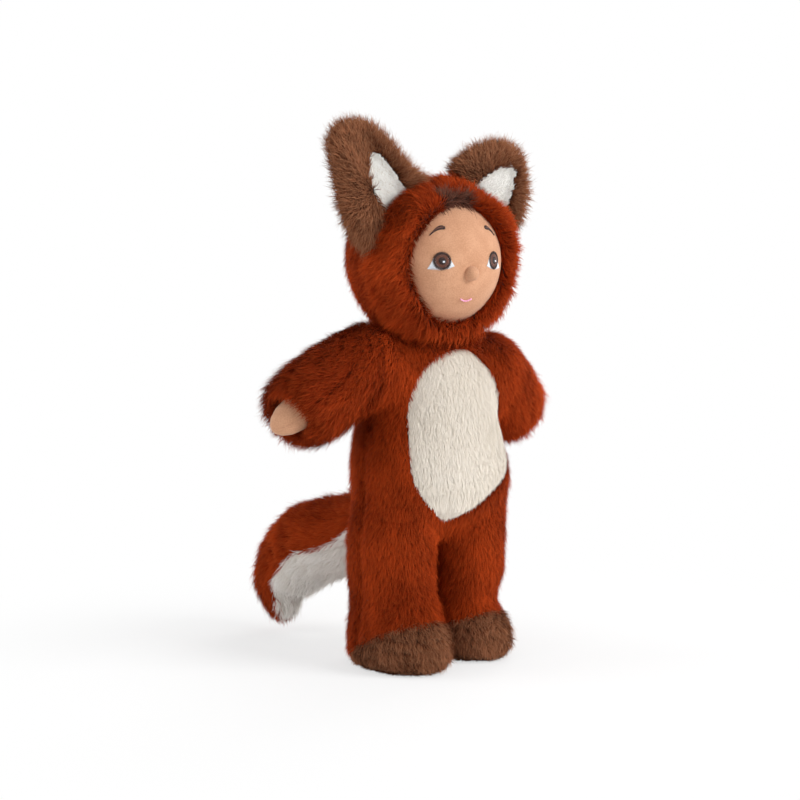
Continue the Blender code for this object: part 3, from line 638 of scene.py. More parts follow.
# %% [markdown]
# ## The suit's measures
# The body is a pear-shaped bag, the legs are soft columns that end in feet, and the sleeves
# are fat tubes with an open cuff. Each row of a body or a leg is a height, a half width and a
# half depth, and a leg's row ends with how far it lies back. A sleeve's row is a place along it
# and a radius. The doll isn't quite even: its left leg is slimmer and its left foot shorter,
# the body is wider at its left hip, and each sleeve lies in a slight bow of its own.
# %% Measures of the suit
BODY = np.array([
    (84, 40, 16), (96, 52, 27), (103, 55, 36), (110, 57, 42), (123, 58, 46), (140, 58, 48), (157, 55.5, 47),
    (174, 51, 44.5), (190, 47, 41), (204, 43, 38), (216, 36, 34), (226, 26, 25),
]) * mm
HIP_OUT, HIP_AT, HIP_SPREAD = 5.0 * mm, 122 * mm, 26 * mm
LEG = np.array([
    (1.5, 30.5, 42, -9.5), (11, 32.5, 45.5, -10), (24, 31.5, 44.5, -9), (36, 29.5, 39.5, -5), (48, 29.3, 36, -2),
    (60, 30.0, 35, 0), (86, 30.5, 35, 0), (100, 28, 33, -0.5), (112, 21, 25, -1), (119, 9, 11, 0),
]) * mm
LEG_TRIM = {"right": 1.0 * mm, "left": 4.0 * mm}
TOE_TRIM = {"right": 0.0, "left": 11 * mm}
SLEEVE = np.array([(0, 29.5), (18, 30.5), (37, 30.5), (52, 29.5), (62, 28), (74, 25)]) * mm
SLEEVE_LONG = {"right": 66 * mm, "left": 64 * mm}
SLEEVE_BOW = {"right": 6.5 * mm, "left": -3 * mm}
CUFF_MOUTH, CUFF_DEPTH = 15.5 * mm, 44 * mm
# The cuff's rim reaches further at the top and the back, so the hand shows in front and below.
CUFF_LEAN = np.array((0, 0.22, 0.16))
BODY_PILE, SLEEVE_PILE = 4.3 * mm, 5.6 * mm
HOOD = 60 * mm
SEAM_DEEP, SEAM_WIDE = 4.2 * mm, 3.0 * mm

# %% [markdown]
# ## The suit's form
# Each form is drawn in by the height of the pile that will stand on it. The side seams and the
# seams round the feet draw the cloth in a little more.
# %% Fields of the suit
def pick(points, right, left):
    """The value of the side that each point lies on."""
    return np.where(points[:, 0] < middle[0], right, left)


def body_field(p):
    x, y, z = (p - middle).T
    wide = np.interp(z, BODY[:, 0], BODY[:, 1]) - BODY_PILE
    wide = wide + HIP_OUT * bump_at(z - HIP_AT, HIP_SPREAD) * (x > 0)
    deep = np.interp(z, BODY[:, 0], BODY[:, 2]) - BODY_PILE
    ends = np.maximum(BODY[0, 0] + BODY_PILE - z, z - BODY[-1, 0] + BODY_PILE)
    form = blend_in(oval_field(x, y, wide, deep), ends, 8 * mm)
    return blend_in(form, HOOD + 0.5 * mm - np.linalg.norm(p - head, axis=1), 3 * mm)


def leg_field(p, side):
    x, y, z = (p - hips[side] * (1, 1, 0)).T
    wide = np.interp(z, LEG[:, 0], LEG[:, 1]) - BODY_PILE
    deep = np.interp(z, LEG[:, 0], LEG[:, 2]) - BODY_PILE
    shift = np.interp(z, LEG[:, 0], LEG[:, 3])
    trim = LEG_TRIM[side] * np.interp(z, (22 * mm, 46 * mm, 80 * mm, 104 * mm), (0, 1, 1, 0))
    toe = TOE_TRIM[side] * np.interp(z, (40 * mm, 60 * mm), (1, 0))
    trim, deep, shift = trim + toe * 0.5, deep - toe / 2, shift + toe / 2
    ends = np.maximum(LEG[0, 0] - z, z - LEG[-1, 0])
    return blend_in(oval_field(x + SIDES[side] * trim / 2, y - shift, wide - trim / 2, deep), ends, 3 * mm)


def bent(away, side):
    """Places along a straight sleeve for places along the bowed one."""
    t = away @ along[side]
    return away - SLEEVE_BOW[side] * np.clip(1 - t / (52 * mm), -0.2, 1)[:, None] * (0, 0, 1)


def sleeve_field(p, side):
    away = bent(p - shoulders[side], side)
    t = away @ along[side]
    off = away - t[:, None] * along[side]
    r = np.linalg.norm(off, axis=1)
    wide = np.interp(t, SLEEVE[:, 0], SLEEVE[:, 1]) - SLEEVE_PILE
    form = np.where(t < 0, np.hypot(r, t), r) - wide
    form = blend_in(form, t - SLEEVE_LONG[side] - off @ CUFF_LEAN, 9 * mm)
    return blend_in(form, -np.maximum(r - CUFF_MOUTH, CUFF_DEPTH - t), 5 * mm)


def seam_dip(p):
    """The side seams of body and legs draw the cloth in."""
    x, y, z = (p - middle).T
    side = np.clip((np.abs(x) - 22 * mm) / (8 * mm), 0, 1)
    low = np.clip((186 * mm - z) / (12 * mm), 0, 1)
    return SEAM_DEEP * bump_at(y + 2 * mm, SEAM_WIDE) * side * low


def cap_height(p):
    """Height of the brown foot's seam: high at the toe, lower at the side, on the floor behind."""
    y = p[:, 1] - middle[1]
    return np.interp(y, (-56 * mm, 6 * mm, 16 * mm), (42 * mm, 13 * mm, -2 * mm)) * pick(p, 1.0, 1.14)


def suit_field(p):
    legs = pick(p, leg_field(p, "right"), leg_field(p, "left"))
    sleeves = pick(p, sleeve_field(p, "right"), sleeve_field(p, "left"))
    trunk = blend_out(body_field(p), legs, 12 * mm) + seam_dip(p)
    foot = 1.2 * mm * bump_at(p[:, 2] - cap_height(p), 2.2 * mm) * (p[:, 2] < 60 * mm)
    return blend_out(trunk + foot, sleeves, 17 * mm)


low, high = np.array(cad_box[0]) - 4 * mm, np.array(cad_box[1]) + 4 * mm
high[2] = 0.236
suit_points, suit_faces = skin_of(suit_field, low, high, 2.3 * mm)
print("suit:", len(suit_points), "points")

# %% [markdown]
# ## Cutting the suit into its pieces
# The tailor's seams divide the suit: a cream panel on the belly, which reaches further to the
# doll's left, and brown caps on the feet. It is also parted where a limb's own fur begins, a
# little outside each joint. An edge is negative on its own piece. Points near a seam are
# pulled onto it first, so that the edge runs true.
# %% Seams and pieces of the suit
PANEL = smooth_loop([
    (-8, 103), (-22, 113), (-31, 124), (-36.5, 140), (-36, 168), (-31.5, 190), (-23, 205), (-11, 213.5), (4, 217),
    (17, 214.5), (30, 206), (40, 193), (47, 176), (50, 156), (50.5, 140), (45, 131), (28, 121), (8, 109),
]) * mm
LEG_CUT = np.array((0.535, 0, -0.845))
LEG_CUT_AT = np.array((30, 0, 101)) * mm
ARM_CUT = 2 * mm


def panel_edge(p):
    x, y, z = (p - middle).T
    return np.where(y < -5 * mm, outline_field(x, z, PANEL), 20 * mm)


def leg_edge(p):
    x, y, z = (p - middle).T
    return -(np.stack([np.abs(x), y, z], 1) - LEG_CUT_AT) @ LEG_CUT


def arm_edge(p, side):
    out = ARM_CUT - (p - shoulders[side]) @ level[side]
    return np.maximum(out, sleeve_field(p, side) - body_field(p) - 7 * mm)


def either_arm(p):
    return pick(p, arm_edge(p, "right"), arm_edge(p, "left"))


def cap_edge(p):
    return p[:, 2] - cap_height(p)


def draw_to(points, edge, reach=1.3 * mm):
    """Moves the points that lie close to an edge onto it, along the surface as near as may be."""
    value = edge(points)
    slope = slope_of(edge, points, value, 0.3 * mm)
    size = (slope ** 2).sum(1)
    near = (np.abs(value) < reach) & (size > 0.2) & (size < 4)
    return points - np.where(near, value / np.maximum(size, 0.2), 0)[:, None] * slope


for edge in (panel_edge, cap_edge, leg_edge, either_arm):
    suit_points = draw_to(suit_points, edge)
suit_points = settle(suit_points, suit_field, 1)
centres = suit_points[suit_faces].mean(1)
in_arm = either_arm(centres) < 0
in_leg = (leg_edge(centres) < 0) & ~in_arm
in_cap = in_leg & (cap_edge(centres) < 0)
in_panel = (panel_edge(centres) < 0) & ~in_leg & ~in_arm
in_body = ~in_arm & ~in_leg & ~in_panel
behind = centres[:, 1] > middle[1] - 2 * mm
on_right = centres[:, 0] < middle[0]
print("faces: arms", in_arm.sum(), "legs", in_leg.sum(), "caps", in_cap.sum(), "panel", in_panel.sum())

# %% [markdown]
# ## How the suit is combed
# The pile of the body and the legs lies flat and points down, turns outwards at the feet and
# towards the sleeves at the shoulders, and wanders a little from place to place. It is shorter
# by the side seams and at the edge of the cream panel, and painted darker there, as painted
# shade in the seams.
# %% Combs of the suit
def down(p, forward=0.0):
    return np.tile((0.0, -forward, -1.0), (len(p), 1))


def splayed(p, side, forward=0.0):
    """Down a leg, and outwards along the floor at its foot."""
    high = np.clip(p[:, 2] / (13 * mm), 0.05, 1)[:, None]
    out = (p - hips[side] + (0, 6 * mm, 0)) * (1, 1, 0)
    out /= np.linalg.norm(out, axis=1)[:, None]
    return down(p, forward) * high + out * (1 - high)


def swirl(p, size):
    """The comb wanders a little, as a hand leaves it."""
    x, y, z = (p / (19 * mm)).T
    return size * np.stack([np.sin(z + 1.3 * y), np.sin(1.2 * x + z + 2), np.sin(x - 1.1 * y + 4)], 1)


def to_arms(p):
    """Down over the body, and outwards towards the sleeves near the shoulders."""
    out = np.stack([np.sign(p[:, 0] - middle[0]), np.zeros(len(p)), np.zeros(len(p))], 1)
    near = np.clip(1 - np.abs(either_arm(p)) / (16 * mm), 0, 1)[:, None]
    return down(p) + 1.1 * near * out + swirl(p, 0.12)


def near_seam(p):
    # The pile tree paints this shorter pile darker: painted shade in the side seams and at the panel's edge.
    return 1 - 0.55 * (seam_dip(p) / SEAM_DEEP) - 0.15 * bump_at(panel_edge(p), 2.5 * mm)


# %% [markdown]
# ## The suit's pile
# On the sleeves the pile is longer and stands up more, and it runs out past the cuff. On the
# feet it is brown and runs to the toes. The right sleeve, which hangs in its own shade, is
# painted darker than the rest, as painted shade, and the body, the legs and the left sleeve are
# painted a little lighter, as painted light.
# %% Grow the suit's pile
# patchy sets how strong the broad tone patches are; they are partly painted sheen highlights.
BODY_LOOK = dict(length=7.8 * mm, rise=0.5, wild=0.42, width=0.42 * mm, tuft_size=4.5 * mm, tuft_pull=0.28,
                 uneven=0.2, roll=0.35, draw=0.2, patchy=1.5, blades_per_area=3.1e6)
PANEL_LOOK = dict(length=5.0 * mm, rise=0.32, wild=0.22, width=0.5 * mm, tuft_size=9 * mm, tuft_pull=0.1,
                  uneven=0.1, roll=0.1, draw=0.2, bend=0.1, blades_per_area=4.2e6)
CAP_LOOK = dict(length=8.5 * mm, rise=0.62, wild=0.55, width=0.42 * mm, tuft_size=6 * mm, tuft_pull=0.45,
                uneven=0.5, draw=0.4)
SLEEVE_LOOK = dict(length=10 * mm, rise=0.5, wild=0.4, width=0.45 * mm, tuft_size=7 * mm, tuft_pull=0.42,
                   uneven=0.4, roll=0.4, draw=0.35, patchy=1.3, blades_per_area=2.8e6)
# Painted light and shade: the same rust cloth gets a lighter tone on the legs and the left sleeve and a much darker
# one on the right sleeve, for how the light falls on each.
LEG_PAINTED_LIGHT = {"right": 0.06, "left": 0.16}
SLEEVE_PAINTED_LIGHT_AND_SHADE = {"right": -0.55, "left": 0.16}
rust, brown = (RUST, UNDER["rust"]), (BROWN, UNDER["brown"])


def over_floor(points, least):
    """Pile is shorter where it meets the floor."""
    # The pile tree paints this shorter pile darker: painted shadow where the fur meets the floor.
    return np.clip((points[:, 2] - 1 * mm) / (9 * mm), least, 1)


# The body's shade=0.1 is painted light: its rust pile is a little lighter than the hood's and the tail's.
for name, here in (("body_front", ~behind), ("body_back", behind)):
    points, faces = part_of(suit_points, suit_faces, in_body & here)
    fur(name, points, faces, to_arms(points), near_seam(points), *rust, 1, shade=0.1, **BODY_LOOK)
points, faces = part_of(suit_points, suit_faces, in_panel)
fur("panel", points, faces, down(points), near_seam(points), CREAM, UNDER["cream"], 2, **PANEL_LOOK)
for side in SIDES:
    here = on_right if side == "right" else ~on_right
    points, faces = part_of(suit_points, suit_faces, in_leg & ~in_cap & here)
    reach = near_seam(points) * over_floor(points, 0.4)
    fur("leg_" + side, points, faces, splayed(points, side), reach, *rust, 3, shade=LEG_PAINTED_LIGHT[side], **BODY_LOOK)
    points, faces = part_of(suit_points, suit_faces, in_cap & here)
    reach = over_floor(points, 0.5)
    fur("foot_" + side, points, faces, splayed(points, side, 0.7), reach, *brown, 4, **CAP_LOOK)
    points, faces = part_of(suit_points, suit_faces, in_arm & here)
    t = (points - shoulders[side]) @ along[side]
    r = np.linalg.norm(points - shoulders[side] - t[:, None] * along[side], axis=1)
    # Inside the cuff the pile is shorter, and the pile tree paints it darker: painted shade in the cuff's mouth.
    inner = (r < CUFF_MOUTH + 1 * mm) & (t > 40 * mm)
    reach = np.interp(t, (0, 20 * mm, 70 * mm), (0.7, 0.95, 1.2)) * np.where(inner, 0.45, 1)
    comb = along[side] + np.interp(t, (0, 30 * mm), (0.8, 0.35))[:, None] * down(points) + swirl(points, 0.3)
    fur("sleeve_" + side, points, faces, comb, reach, *rust, 5, shade=SLEEVE_PAINTED_LIGHT_AND_SHADE[side], **SLEEVE_LOOK)

# %% [markdown]
# ## The hood
# The hood is sewn from two parts. The front is a fat ruff round the face. The back lies closer
# to the head. The seam between them runs over the top from ear to ear and draws the cloth in to
# a crease that stops just over the head. The whole is a little lumpy, as stuffed cloth is.
# %% The hood's form
FACE_WIDE, FACE_TALL, FACE_LOW = 39.0 * mm, 40.5 * mm, 3 * mm
HOOD_SEAM = 9 * mm
HOOD_CREASE, HOOD_LEAST, HOOD_LUMPS = 7.0 * mm, 49.8 * mm, 1.3 * mm
NECK_HOLE = 17 * mm


def hood_field(p):
    x, y, z = (p - head).T
    ruff = np.interp(y, (-24 * mm, -HOOD_SEAM), (55 * mm, 56 * mm))
    puff = np.where(y < -HOOD_SEAM, ruff, np.interp(y, (-HOOD_SEAM, 14 * mm), (50 * mm, 53.5 * mm)))
    lumps = np.sin(x / (11 * mm) + 1) * np.sin(z / (9 * mm) + y / (15 * mm)) + np.sin(y / (10 * mm) + z / (14 * mm))
    crease = HOOD_CREASE * bump_at(y + HOOD_SEAM - 1.5 * mm, 3.6 * mm)
    ball = np.linalg.norm(p - head, axis=1) - np.maximum(puff - HOOD_LUMPS * lumps - crease, HOOD_LEAST)
    narrow = 1 - 0.10 * np.clip(-z / (40 * mm), 0, 1)
    opening = oval_field(x / narrow, z + FACE_LOW, FACE_WIDE, FACE_TALL)
    opening = np.where(y < 0, opening, 20 * mm)
    neck = np.where(z < 0, np.hypot(x, y) - NECK_HOLE, 20 * mm)
    return blend_in(blend_in(ball, -opening, 10 * mm), -neck, 2 * mm)


hood_points, hood_faces = skin_of(hood_field, head - 62 * mm, head + 62 * mm, 2.3 * mm)
centres = hood_points[hood_faces].mean(1) - head
outside = np.linalg.norm(centres, axis=1) > 48.8 * mm
front = centres[:, 1] < -HOOD_SEAM
hair = front & (np.abs(centres[:, 0] + 4 * mm) < 13 * mm) & (centres[:, 2] > 34 * mm) & (centres[:, 2] < 43 * mm)
print("hood:", len(hood_points), "points")

# %% [markdown]
# ## The hood's pile
# The ruff has the longest pile, combed outwards from the face, back and down, and longest under
# the chin. A tuft of dark hair shows above the face. Pile is short in the crease, and short pile
# is painted darker, as painted shade in the crease and round the face.
# %% Grow the hood's pile
RUFF_LOOK = dict(length=12 * mm, rise=0.55, wild=0.42, width=0.48 * mm, tuft_size=8.5 * mm, tuft_pull=0.62,
                 uneven=0.6, roll=0.45, blades_per_area=2.6e6, draw=0.45, rows=4)
HOOD_BACK_LOOK = dict(length=9 * mm, rise=0.5, wild=0.35, width=0.5 * mm, tuft_size=7 * mm, tuft_pull=0.5, uneven=0.5)
HAIR_LOOK = dict(length=9 * mm, rise=0.6, wild=0.7, width=0.42 * mm, tuft_size=5 * mm, tuft_pull=0.5, uneven=0.6)


def ruff_comb(p):
    away = (p - head) * (1, 0, 1) + (0, 0, FACE_LOW)
    away /= np.maximum(np.linalg.norm(away, axis=1), 1e-6)[:, None]
    return away + (0, 0.1, -0.45) + swirl(p, 0.4)


def by_seam(p):
    y = p[:, 1] - head[1] + HOOD_SEAM
    # The pile tree paints this shorter pile darker: painted shade in the hood's crease.
    return 1 - 0.7 * bump_at(y, np.where(y < 0, 3.5 * mm, 12 * mm))


points, faces = part_of(hood_points, hood_faces, outside & front & ~hair)
# Short reach is also painted darker by the pile tree: painted shade at the rim round the face, over the top and in
# the crease.
reach = np.interp(points[:, 2] - head[2], (-52 * mm, -36 * mm, 0, 50 * mm), (1.6, 1.15, 1, 0.65))
rim = oval_field(points[:, 0] - head[0], points[:, 2] - head[2] + FACE_LOW, FACE_WIDE, FACE_TALL)
reach = reach * np.interp(rim, (0, 9 * mm), (0.55, 1)) * by_seam(points)
fur("hood_front", points, faces, ruff_comb(points), reach, *rust, 6, **RUFF_LOOK)
points, faces = part_of(hood_points, hood_faces, outside & ~front)
comb = down(points, -0.3) + swirl(points, 0.4)
fur("hood_back", points, faces, comb, by_seam(points), *rust, 7, **HOOD_BACK_LOOK)
points, faces = part_of(hood_points, hood_faces, outside & hair)
comb = ruff_comb(points) * (1, 1, 0) + (0, 0, 0.2)
fur("hair", points, faces, comb, np.ones(len(points)), HAIR, UNDER["hair"], 8, **HAIR_LOOK)

# %% [markdown]
# ## The ears
# Each ear is a flat padded bag with a curved edge, brown all round, with a short-napped white
# lining let into its front. The outline is a smooth curve through a few shares of its base and
# height. The field is the distance to that outline, rounded over its edge. The left ear is the
# lower one.
# %% Ears
EAR_OUTLINE = {
    "right": ((-1.00, -0.10), (-1.08, 0.10), (-1.05, 0.26), (-0.82, 0.46), (-0.46, 0.70), (-0.24, 0.86), (0.00, 1.01),
              (0.33, 1.06), (0.63, 1.02), (0.90, 0.90), (1.05, 0.70), (1.04, 0.42), (1.00, 0.16), (0.97, -0.10)),
    "left": ((-0.98, -0.10), (-1.00, 0.22), (-0.82, 0.58), (-0.44, 0.92), (0.04, 1.01), (0.52, 0.84), (0.92, 0.44),
             (1.06, 0.16), (1.04, -0.10)),
}
LINING_OUTLINE = {
    "right": ((-0.22, -0.06), (-0.14, 0.14), (-0.02, 0.33), (0.20, 0.50), (0.52, 0.60), (0.60, 0.44), (0.52, 0.16),
              (0.46, -0.06)),
    "left": ((-0.50, -0.06), (-0.50, 0.14), (-0.42, 0.40), (-0.28, 0.64), (-0.10, 0.66), (0.12, 0.46), (0.32, 0.14),
             (0.38, -0.06)),
}
EAR_SIZES = {"right": (33.9 * mm, 70 * mm), "left": (34.4 * mm, 47 * mm)}
EAR_PILE, EAR_THICK, EAR_CURL, LINING_DIP = 7 * mm, 4.2 * mm, 4 * mm, 1.6 * mm
EAR_LOOK = dict(length=10 * mm, rise=0.8, wild=0.5, width=0.4 * mm, tuft_size=6.5 * mm, tuft_pull=0.5, uneven=0.6,
                rows=4, blades_per_area=3.4e6)
LINING_LOOK = dict(length=2.5 * mm, rise=0.35, wild=0.4, width=0.45 * mm, tuft_size=3 * mm, tuft_pull=0.2,
                   roll=0.15, patchy=0.3, blades_per_area=6e6)
for side in SIDES:
    root = place_of(f"ear_{side}_tilt")
    base = np.array(joints[f"ear_{side}_tilt"]["axis"])
    rise = np.cross(base, (0, 1, 0))
    half, tall = EAR_SIZES[side]
    size = np.array((half * -SIDES[side], tall))
    loop, lining_loop = smooth_loop(EAR_OUTLINE[side]) * size, smooth_loop(LINING_OUTLINE[side]) * size

    def ear_field(p):
        away = p - root
        x, z, y = away @ base, away @ rise, away[:, 1]
        y = y + EAR_CURL * (x / half) ** 2 - 1.5 * mm
        inset = outline_field(x, z, loop) + EAR_PILE
        form = np.hypot(np.maximum(inset + EAR_THICK, 0), y) - EAR_THICK
        dip = np.clip(-outline_field(x, z, lining_loop) / (3 * mm), 0, 1) * (y < 0)
        return form + LINING_DIP * dip

    ear_points, ear_faces = skin_of(ear_field, root - 85 * mm, root + 85 * mm, 2.2 * mm)
    away = ear_points[ear_faces].mean(1) - root
    x, z, y = away @ base, away @ rise, away[:, 1]
    clear = np.linalg.norm(away + root - head, axis=1) > 54 * mm
    lining = (outline_field(x, z, lining_loop) < 0) & (y + EAR_CURL * (x / half) ** 2 < 0)
    points, faces = part_of(ear_points, ear_faces, clear & ~lining)
    comb = (points - (root + rise * tall * 0.35)) * (1, 0.2, 1)
    comb = comb / np.linalg.norm(comb, axis=1)[:, None] + 0.25 * rise
    away = points - root
    near = outline_field(away @ base, away @ rise, lining_loop)
    # Near the lining on the front the pile is shorter, and the pile tree paints it darker: painted shade round the
    # lining.
    reach = np.where(away[:, 1] < 0, np.clip(0.55 + near / (14 * mm), 0.55, 1), 1)
    fur("ear_" + side, points, faces, comb, reach, *brown, 9, **EAR_LOOK)
    points, faces = part_of(ear_points, ear_faces, clear & lining)
    comb = np.tile(rise, (len(points), 1))
    fur("ear_lining_" + side, points, faces, comb, np.ones(len(points)), LINING, UNDER["cream"], 10, **LINING_LOOK)

# %% [markdown]
# ## The head
# The head is a ball of skin-coloured cloth, stuffed tight, so its cheeks stand out a little.
# The nose is a small ball gathered in the same cloth and sewn on.
# %% Head and nose
FACE = 48.5 * mm


def head_field(p):
    x, y, z = (p - head).T
    form = np.linalg.norm(p - head, axis=1) - FACE
    for cheek in (-1, 1):
        place = np.array((cheek * 19, -41, -17)) * mm
        form = form - 1.2 * mm * np.exp(-((p - head - place) ** 2).sum(1) / (13 * mm) ** 2)
    ring = np.hypot(x, z + 8.5 * mm) - 5.6 * mm
    return form + 0.5 * mm * bump_at(ring, 1.2 * mm) * (y < 0)


head_points, head_faces = skin_of(head_field, head - 52 * mm, head + 52 * mm, 1.4 * mm)
face = piece("face_cloth", head_points, head_faces, SKIN)
face_tree = BVHTree.FromPolygons(*plain_lists(head_points, head_faces))


def on_face(x, z, lift=0.0):
    """The place and the outward direction on the face at a width and a height from its middle."""
    hit, normal, _, _ = face_tree.ray_cast(Vector(head) + Vector((x, -0.1, z)), Vector((0, 1, 0)))
    return hit + normal * lift, normal


def nose_field(p):
    spot, normal = nose_at
    away = p - spot
    t = away @ normal
    r = np.linalg.norm(away - t[:, None] * normal, axis=1)
    ball = np.hypot(r, t - 0.7 * mm) - 4.6 * mm
    flare = np.maximum(np.hypot(r, t + 1.0 * mm) - 5.0 * mm, -0.6 * mm - t)
    return blend_in(blend_out(ball, flare, 1.2 * mm), -0.8 * mm - t, 0.5 * mm)


nose_at = tuple(np.array(v) for v in on_face(0, -8.5 * mm))
points, faces = skin_of(nose_field, nose_at[0] - 7 * mm, nose_at[0] + 7 * mm, 0.6 * mm)
nose = piece("nose_ball", points, faces, SKIN)
print("head:", len(head_points), "points, nose:", len(points))

# %% [markdown]
# ## Stitches
# Eyes, brows and mouth are embroidered. A second tree lays a thread along each edge of a mesh:
# it bows away from the cloth in its middle and dives in at both ends. The stitches of a filled
# patch lie side by side.
# %% The thread tree
THREAD_INPUTS = (
    ("Stitches", "NodeSocketGeometry", None), ("Thickness", "NodeSocketFloat", 0.2 * mm),
    ("Bow", "NodeSocketFloat", 0.2 * mm), ("Finish", "NodeSocketMaterial", None),
)


def make_thread_tree():
    tree, board, given = tree_with("threads", THREAD_INPUTS, "Threads")
    lines = board.add("GeometryNodeMeshToCurve", inputs={0: given("Stitches")})
    lines = board.add("GeometryNodeResampleCurve", inputs={"Curve": lines, "Count": 7})
    share = board.add("GeometryNodeSplineParameter")
    arch = share * (1 - share) * 4.0
    lift = carried(board, "out", "FLOAT_VECTOR") * (arch * given("Bow"))
    lines = board.add("GeometryNodeSetPosition", inputs={"Geometry": lines, "Offset": lift})
    radius = given("Thickness") * (0.35 + 0.65 * arch ** 0.4)
    ring = board.add("GeometryNodeCurvePrimitiveCircle", inputs={"Resolution": 6, "Radius": 1.0})
    tubes = {"Curve": lines, "Profile Curve": ring, "Scale": radius, "Fill Caps": True}
    finish_tree(board, made_real(board, board.add("GeometryNodeCurveToMesh", inputs=tubes)), given("Finish"))
    return tree


THREADS = make_thread_tree()


def embroider(name, stitches, finish, thickness=0.2 * mm, bow=0.2 * mm):
    """Threads on a surface. Each stitch is two places with their outward directions."""
    mesh = bpy.data.meshes.new(name + "_lines")
    ends = [end for stitch in stitches for end in stitch]
    mesh.from_pydata([tuple(p) for p, _ in ends], [(2 * i, 2 * i + 1) for i in range(len(stitches))], [])
    lines = into_scene(name + "_lines", mesh)
    carry(lines, "out", np.array([tuple(out) for _, out in ends]))
    made = run_tree(lines, THREADS, name, {"Finish": finish, "Thickness": thickness, "Bow": bow})
    bpy.data.objects.remove(lines)
    if "out" in made.data.attributes:
        made.data.attributes.remove(made.data.attributes["out"])
    return made


def join(name, parts):
    """Several pieces made one."""
    with bpy.context.temp_override(active_object=parts[0], selected_editable_objects=parts):
        bpy.ops.object.join()
    parts[0].name = name
    return parts[0]


print("thread tree:", len(THREADS.nodes), "nodes")

# %% [markdown]
# ## The face's embroidery
# The white of an eye is a filled patch with upright stitches. Over it lies the iris: a ring of
# stitches that run from the pupil outwards, a dark edge of short stitches, a dark pupil and a
# small white glint. A brow is a row of slanting stitches with a lighter row on top, and the
# mouth is five back stitches.
# %% Eyes, brows and mouth
def scan(outline, pitch, lift):
    """Upright stitches, side by side, that fill an outline of x and z."""
    loop = np.array(outline)
    stitches = []
    for x in np.arange(loop[:, 0].min() + pitch / 2, loop[:, 0].max(), pitch):
        cuts = []
        for a, b in zip(loop, np.roll(loop, -1, 0)):
            if (a[0] > x) != (b[0] > x):
                cuts.append(a[1] + (x - a[0]) / (b[0] - a[0]) * (b[1] - a[1]))
        if len(cuts) >= 2 and max(cuts) - min(cuts) > 0.4 * mm:
            stitches.append((on_face(x, min(cuts), lift), on_face(x, max(cuts), lift)))
    return stitches


def spokes(x, inner, outer, count, lift, turn):
    """Stitches from a small ring to a larger one, a little taller than it is wide."""
    made = []
    for a in (tau * i / count for i in range(count)):
        b = a + turn
        made.append((on_face(x + inner * cos(a), inner * sin(a), lift),
                     on_face(x + outer * cos(b), outer * sin(b) * 1.08, lift)))
    return made


WHITE_OUTLINE = np.array([(-8.6, -5.4), (-7.0, -2.2), (-5.2, 2.0), (5.0, 2.2), (6.4, -1.0), (7.8, -3.6), (4.0, -5.4),
                          (-2.0, -6.2)]) * mm
GLINT = np.array([(0.1, -1.2), (1.3, -1.2), (1.3, 0.2), (0.1, 0.2)]) * mm
EYE_OUT = 21 * mm
BROW_STITCHES = 34
embroidery = {}
for side, sign in SIDES.items():
    x = sign * EYE_OUT
    white = scan([(x + px * -sign, pz) for px, pz in WHITE_OUTLINE], 0.36 * mm, 0.15 * mm)
    embroidery["eye_white_" + side] = embroider("eye_white_thread_" + side, white, WHITE_THREAD)
    ring = spokes(x, 0.3 * mm, 5.1 * mm, 42, 0.25 * mm, 0.2)
    edge = spokes(x, 4.2 * mm, 5.7 * mm, 46, 0.45 * mm, 0.25)
    pupil = spokes(x, 0.1 * mm, 2.5 * mm, 22, 0.6 * mm, 0.3)
    glint = scan(GLINT + (x, 0), 0.3 * mm, 0.95 * mm)
    embroidery["iris_" + side] = join("iris_thread_" + side, [
        embroider("a", ring, BROWN_THREAD, 0.32 * mm, 0.35 * mm),
        embroider("b", edge, DARK_THREAD, 0.26 * mm, 0.3 * mm),
        embroider("c", pupil, DARK_THREAD, 0.32 * mm, 0.35 * mm),
        embroider("d", glint, WHITE_THREAD, 0.22 * mm, 0.3 * mm),
    ])
    dark, light = [], []
    for i in range(BROW_STITCHES):
        s = i / (BROW_STITCHES - 1)
        bx = x + sign * (5.4 - 9.8 * s) * mm
        bz = (17.0 + 5.0 * sin(s * pi * 0.6)) * mm
        tall = (0.45 + 0.95 * sin(min(s * 1.25, 1) * pi / 2) ** 2) * mm * (1 if s < 0.92 else 0.7)
        top = on_face(bx - sign * 0.3 * mm, bz + tall, 0.15 * mm)
        dark.append((on_face(bx, bz - tall, 0.15 * mm), top))
        if 6 < i < 30:
            top = on_face(bx - sign * 0.2 * mm, bz + tall * 0.4, 0.4 * mm)
            light.append((on_face(bx, bz - tall * 0.35, 0.4 * mm), top))
    embroidery["brow_" + side] = join("brow_thread_" + side, [
        embroider("e", dark, DARK_THREAD, 0.3 * mm, 0.3 * mm),
        embroider("f", light, BROWN_THREAD, 0.25 * mm, 0.3 * mm),
    ])
mouth_x = np.linspace(-4.6, 4.6, 6) * mm
mouth_z = -25.2 * mm - 1.5 * mm * (1 - (mouth_x / (4.6 * mm)) ** 2)
places = [on_face(x, z, 0.1 * mm) for x, z in zip(mouth_x, mouth_z)]
stitches = list(zip(places, places[1:]))
embroidery["mouth"] = embroider("mouth_thread", stitches, PINK_THREAD, 0.62 * mm, 0.5 * mm)
print("stitched:", sorted(embroidery))

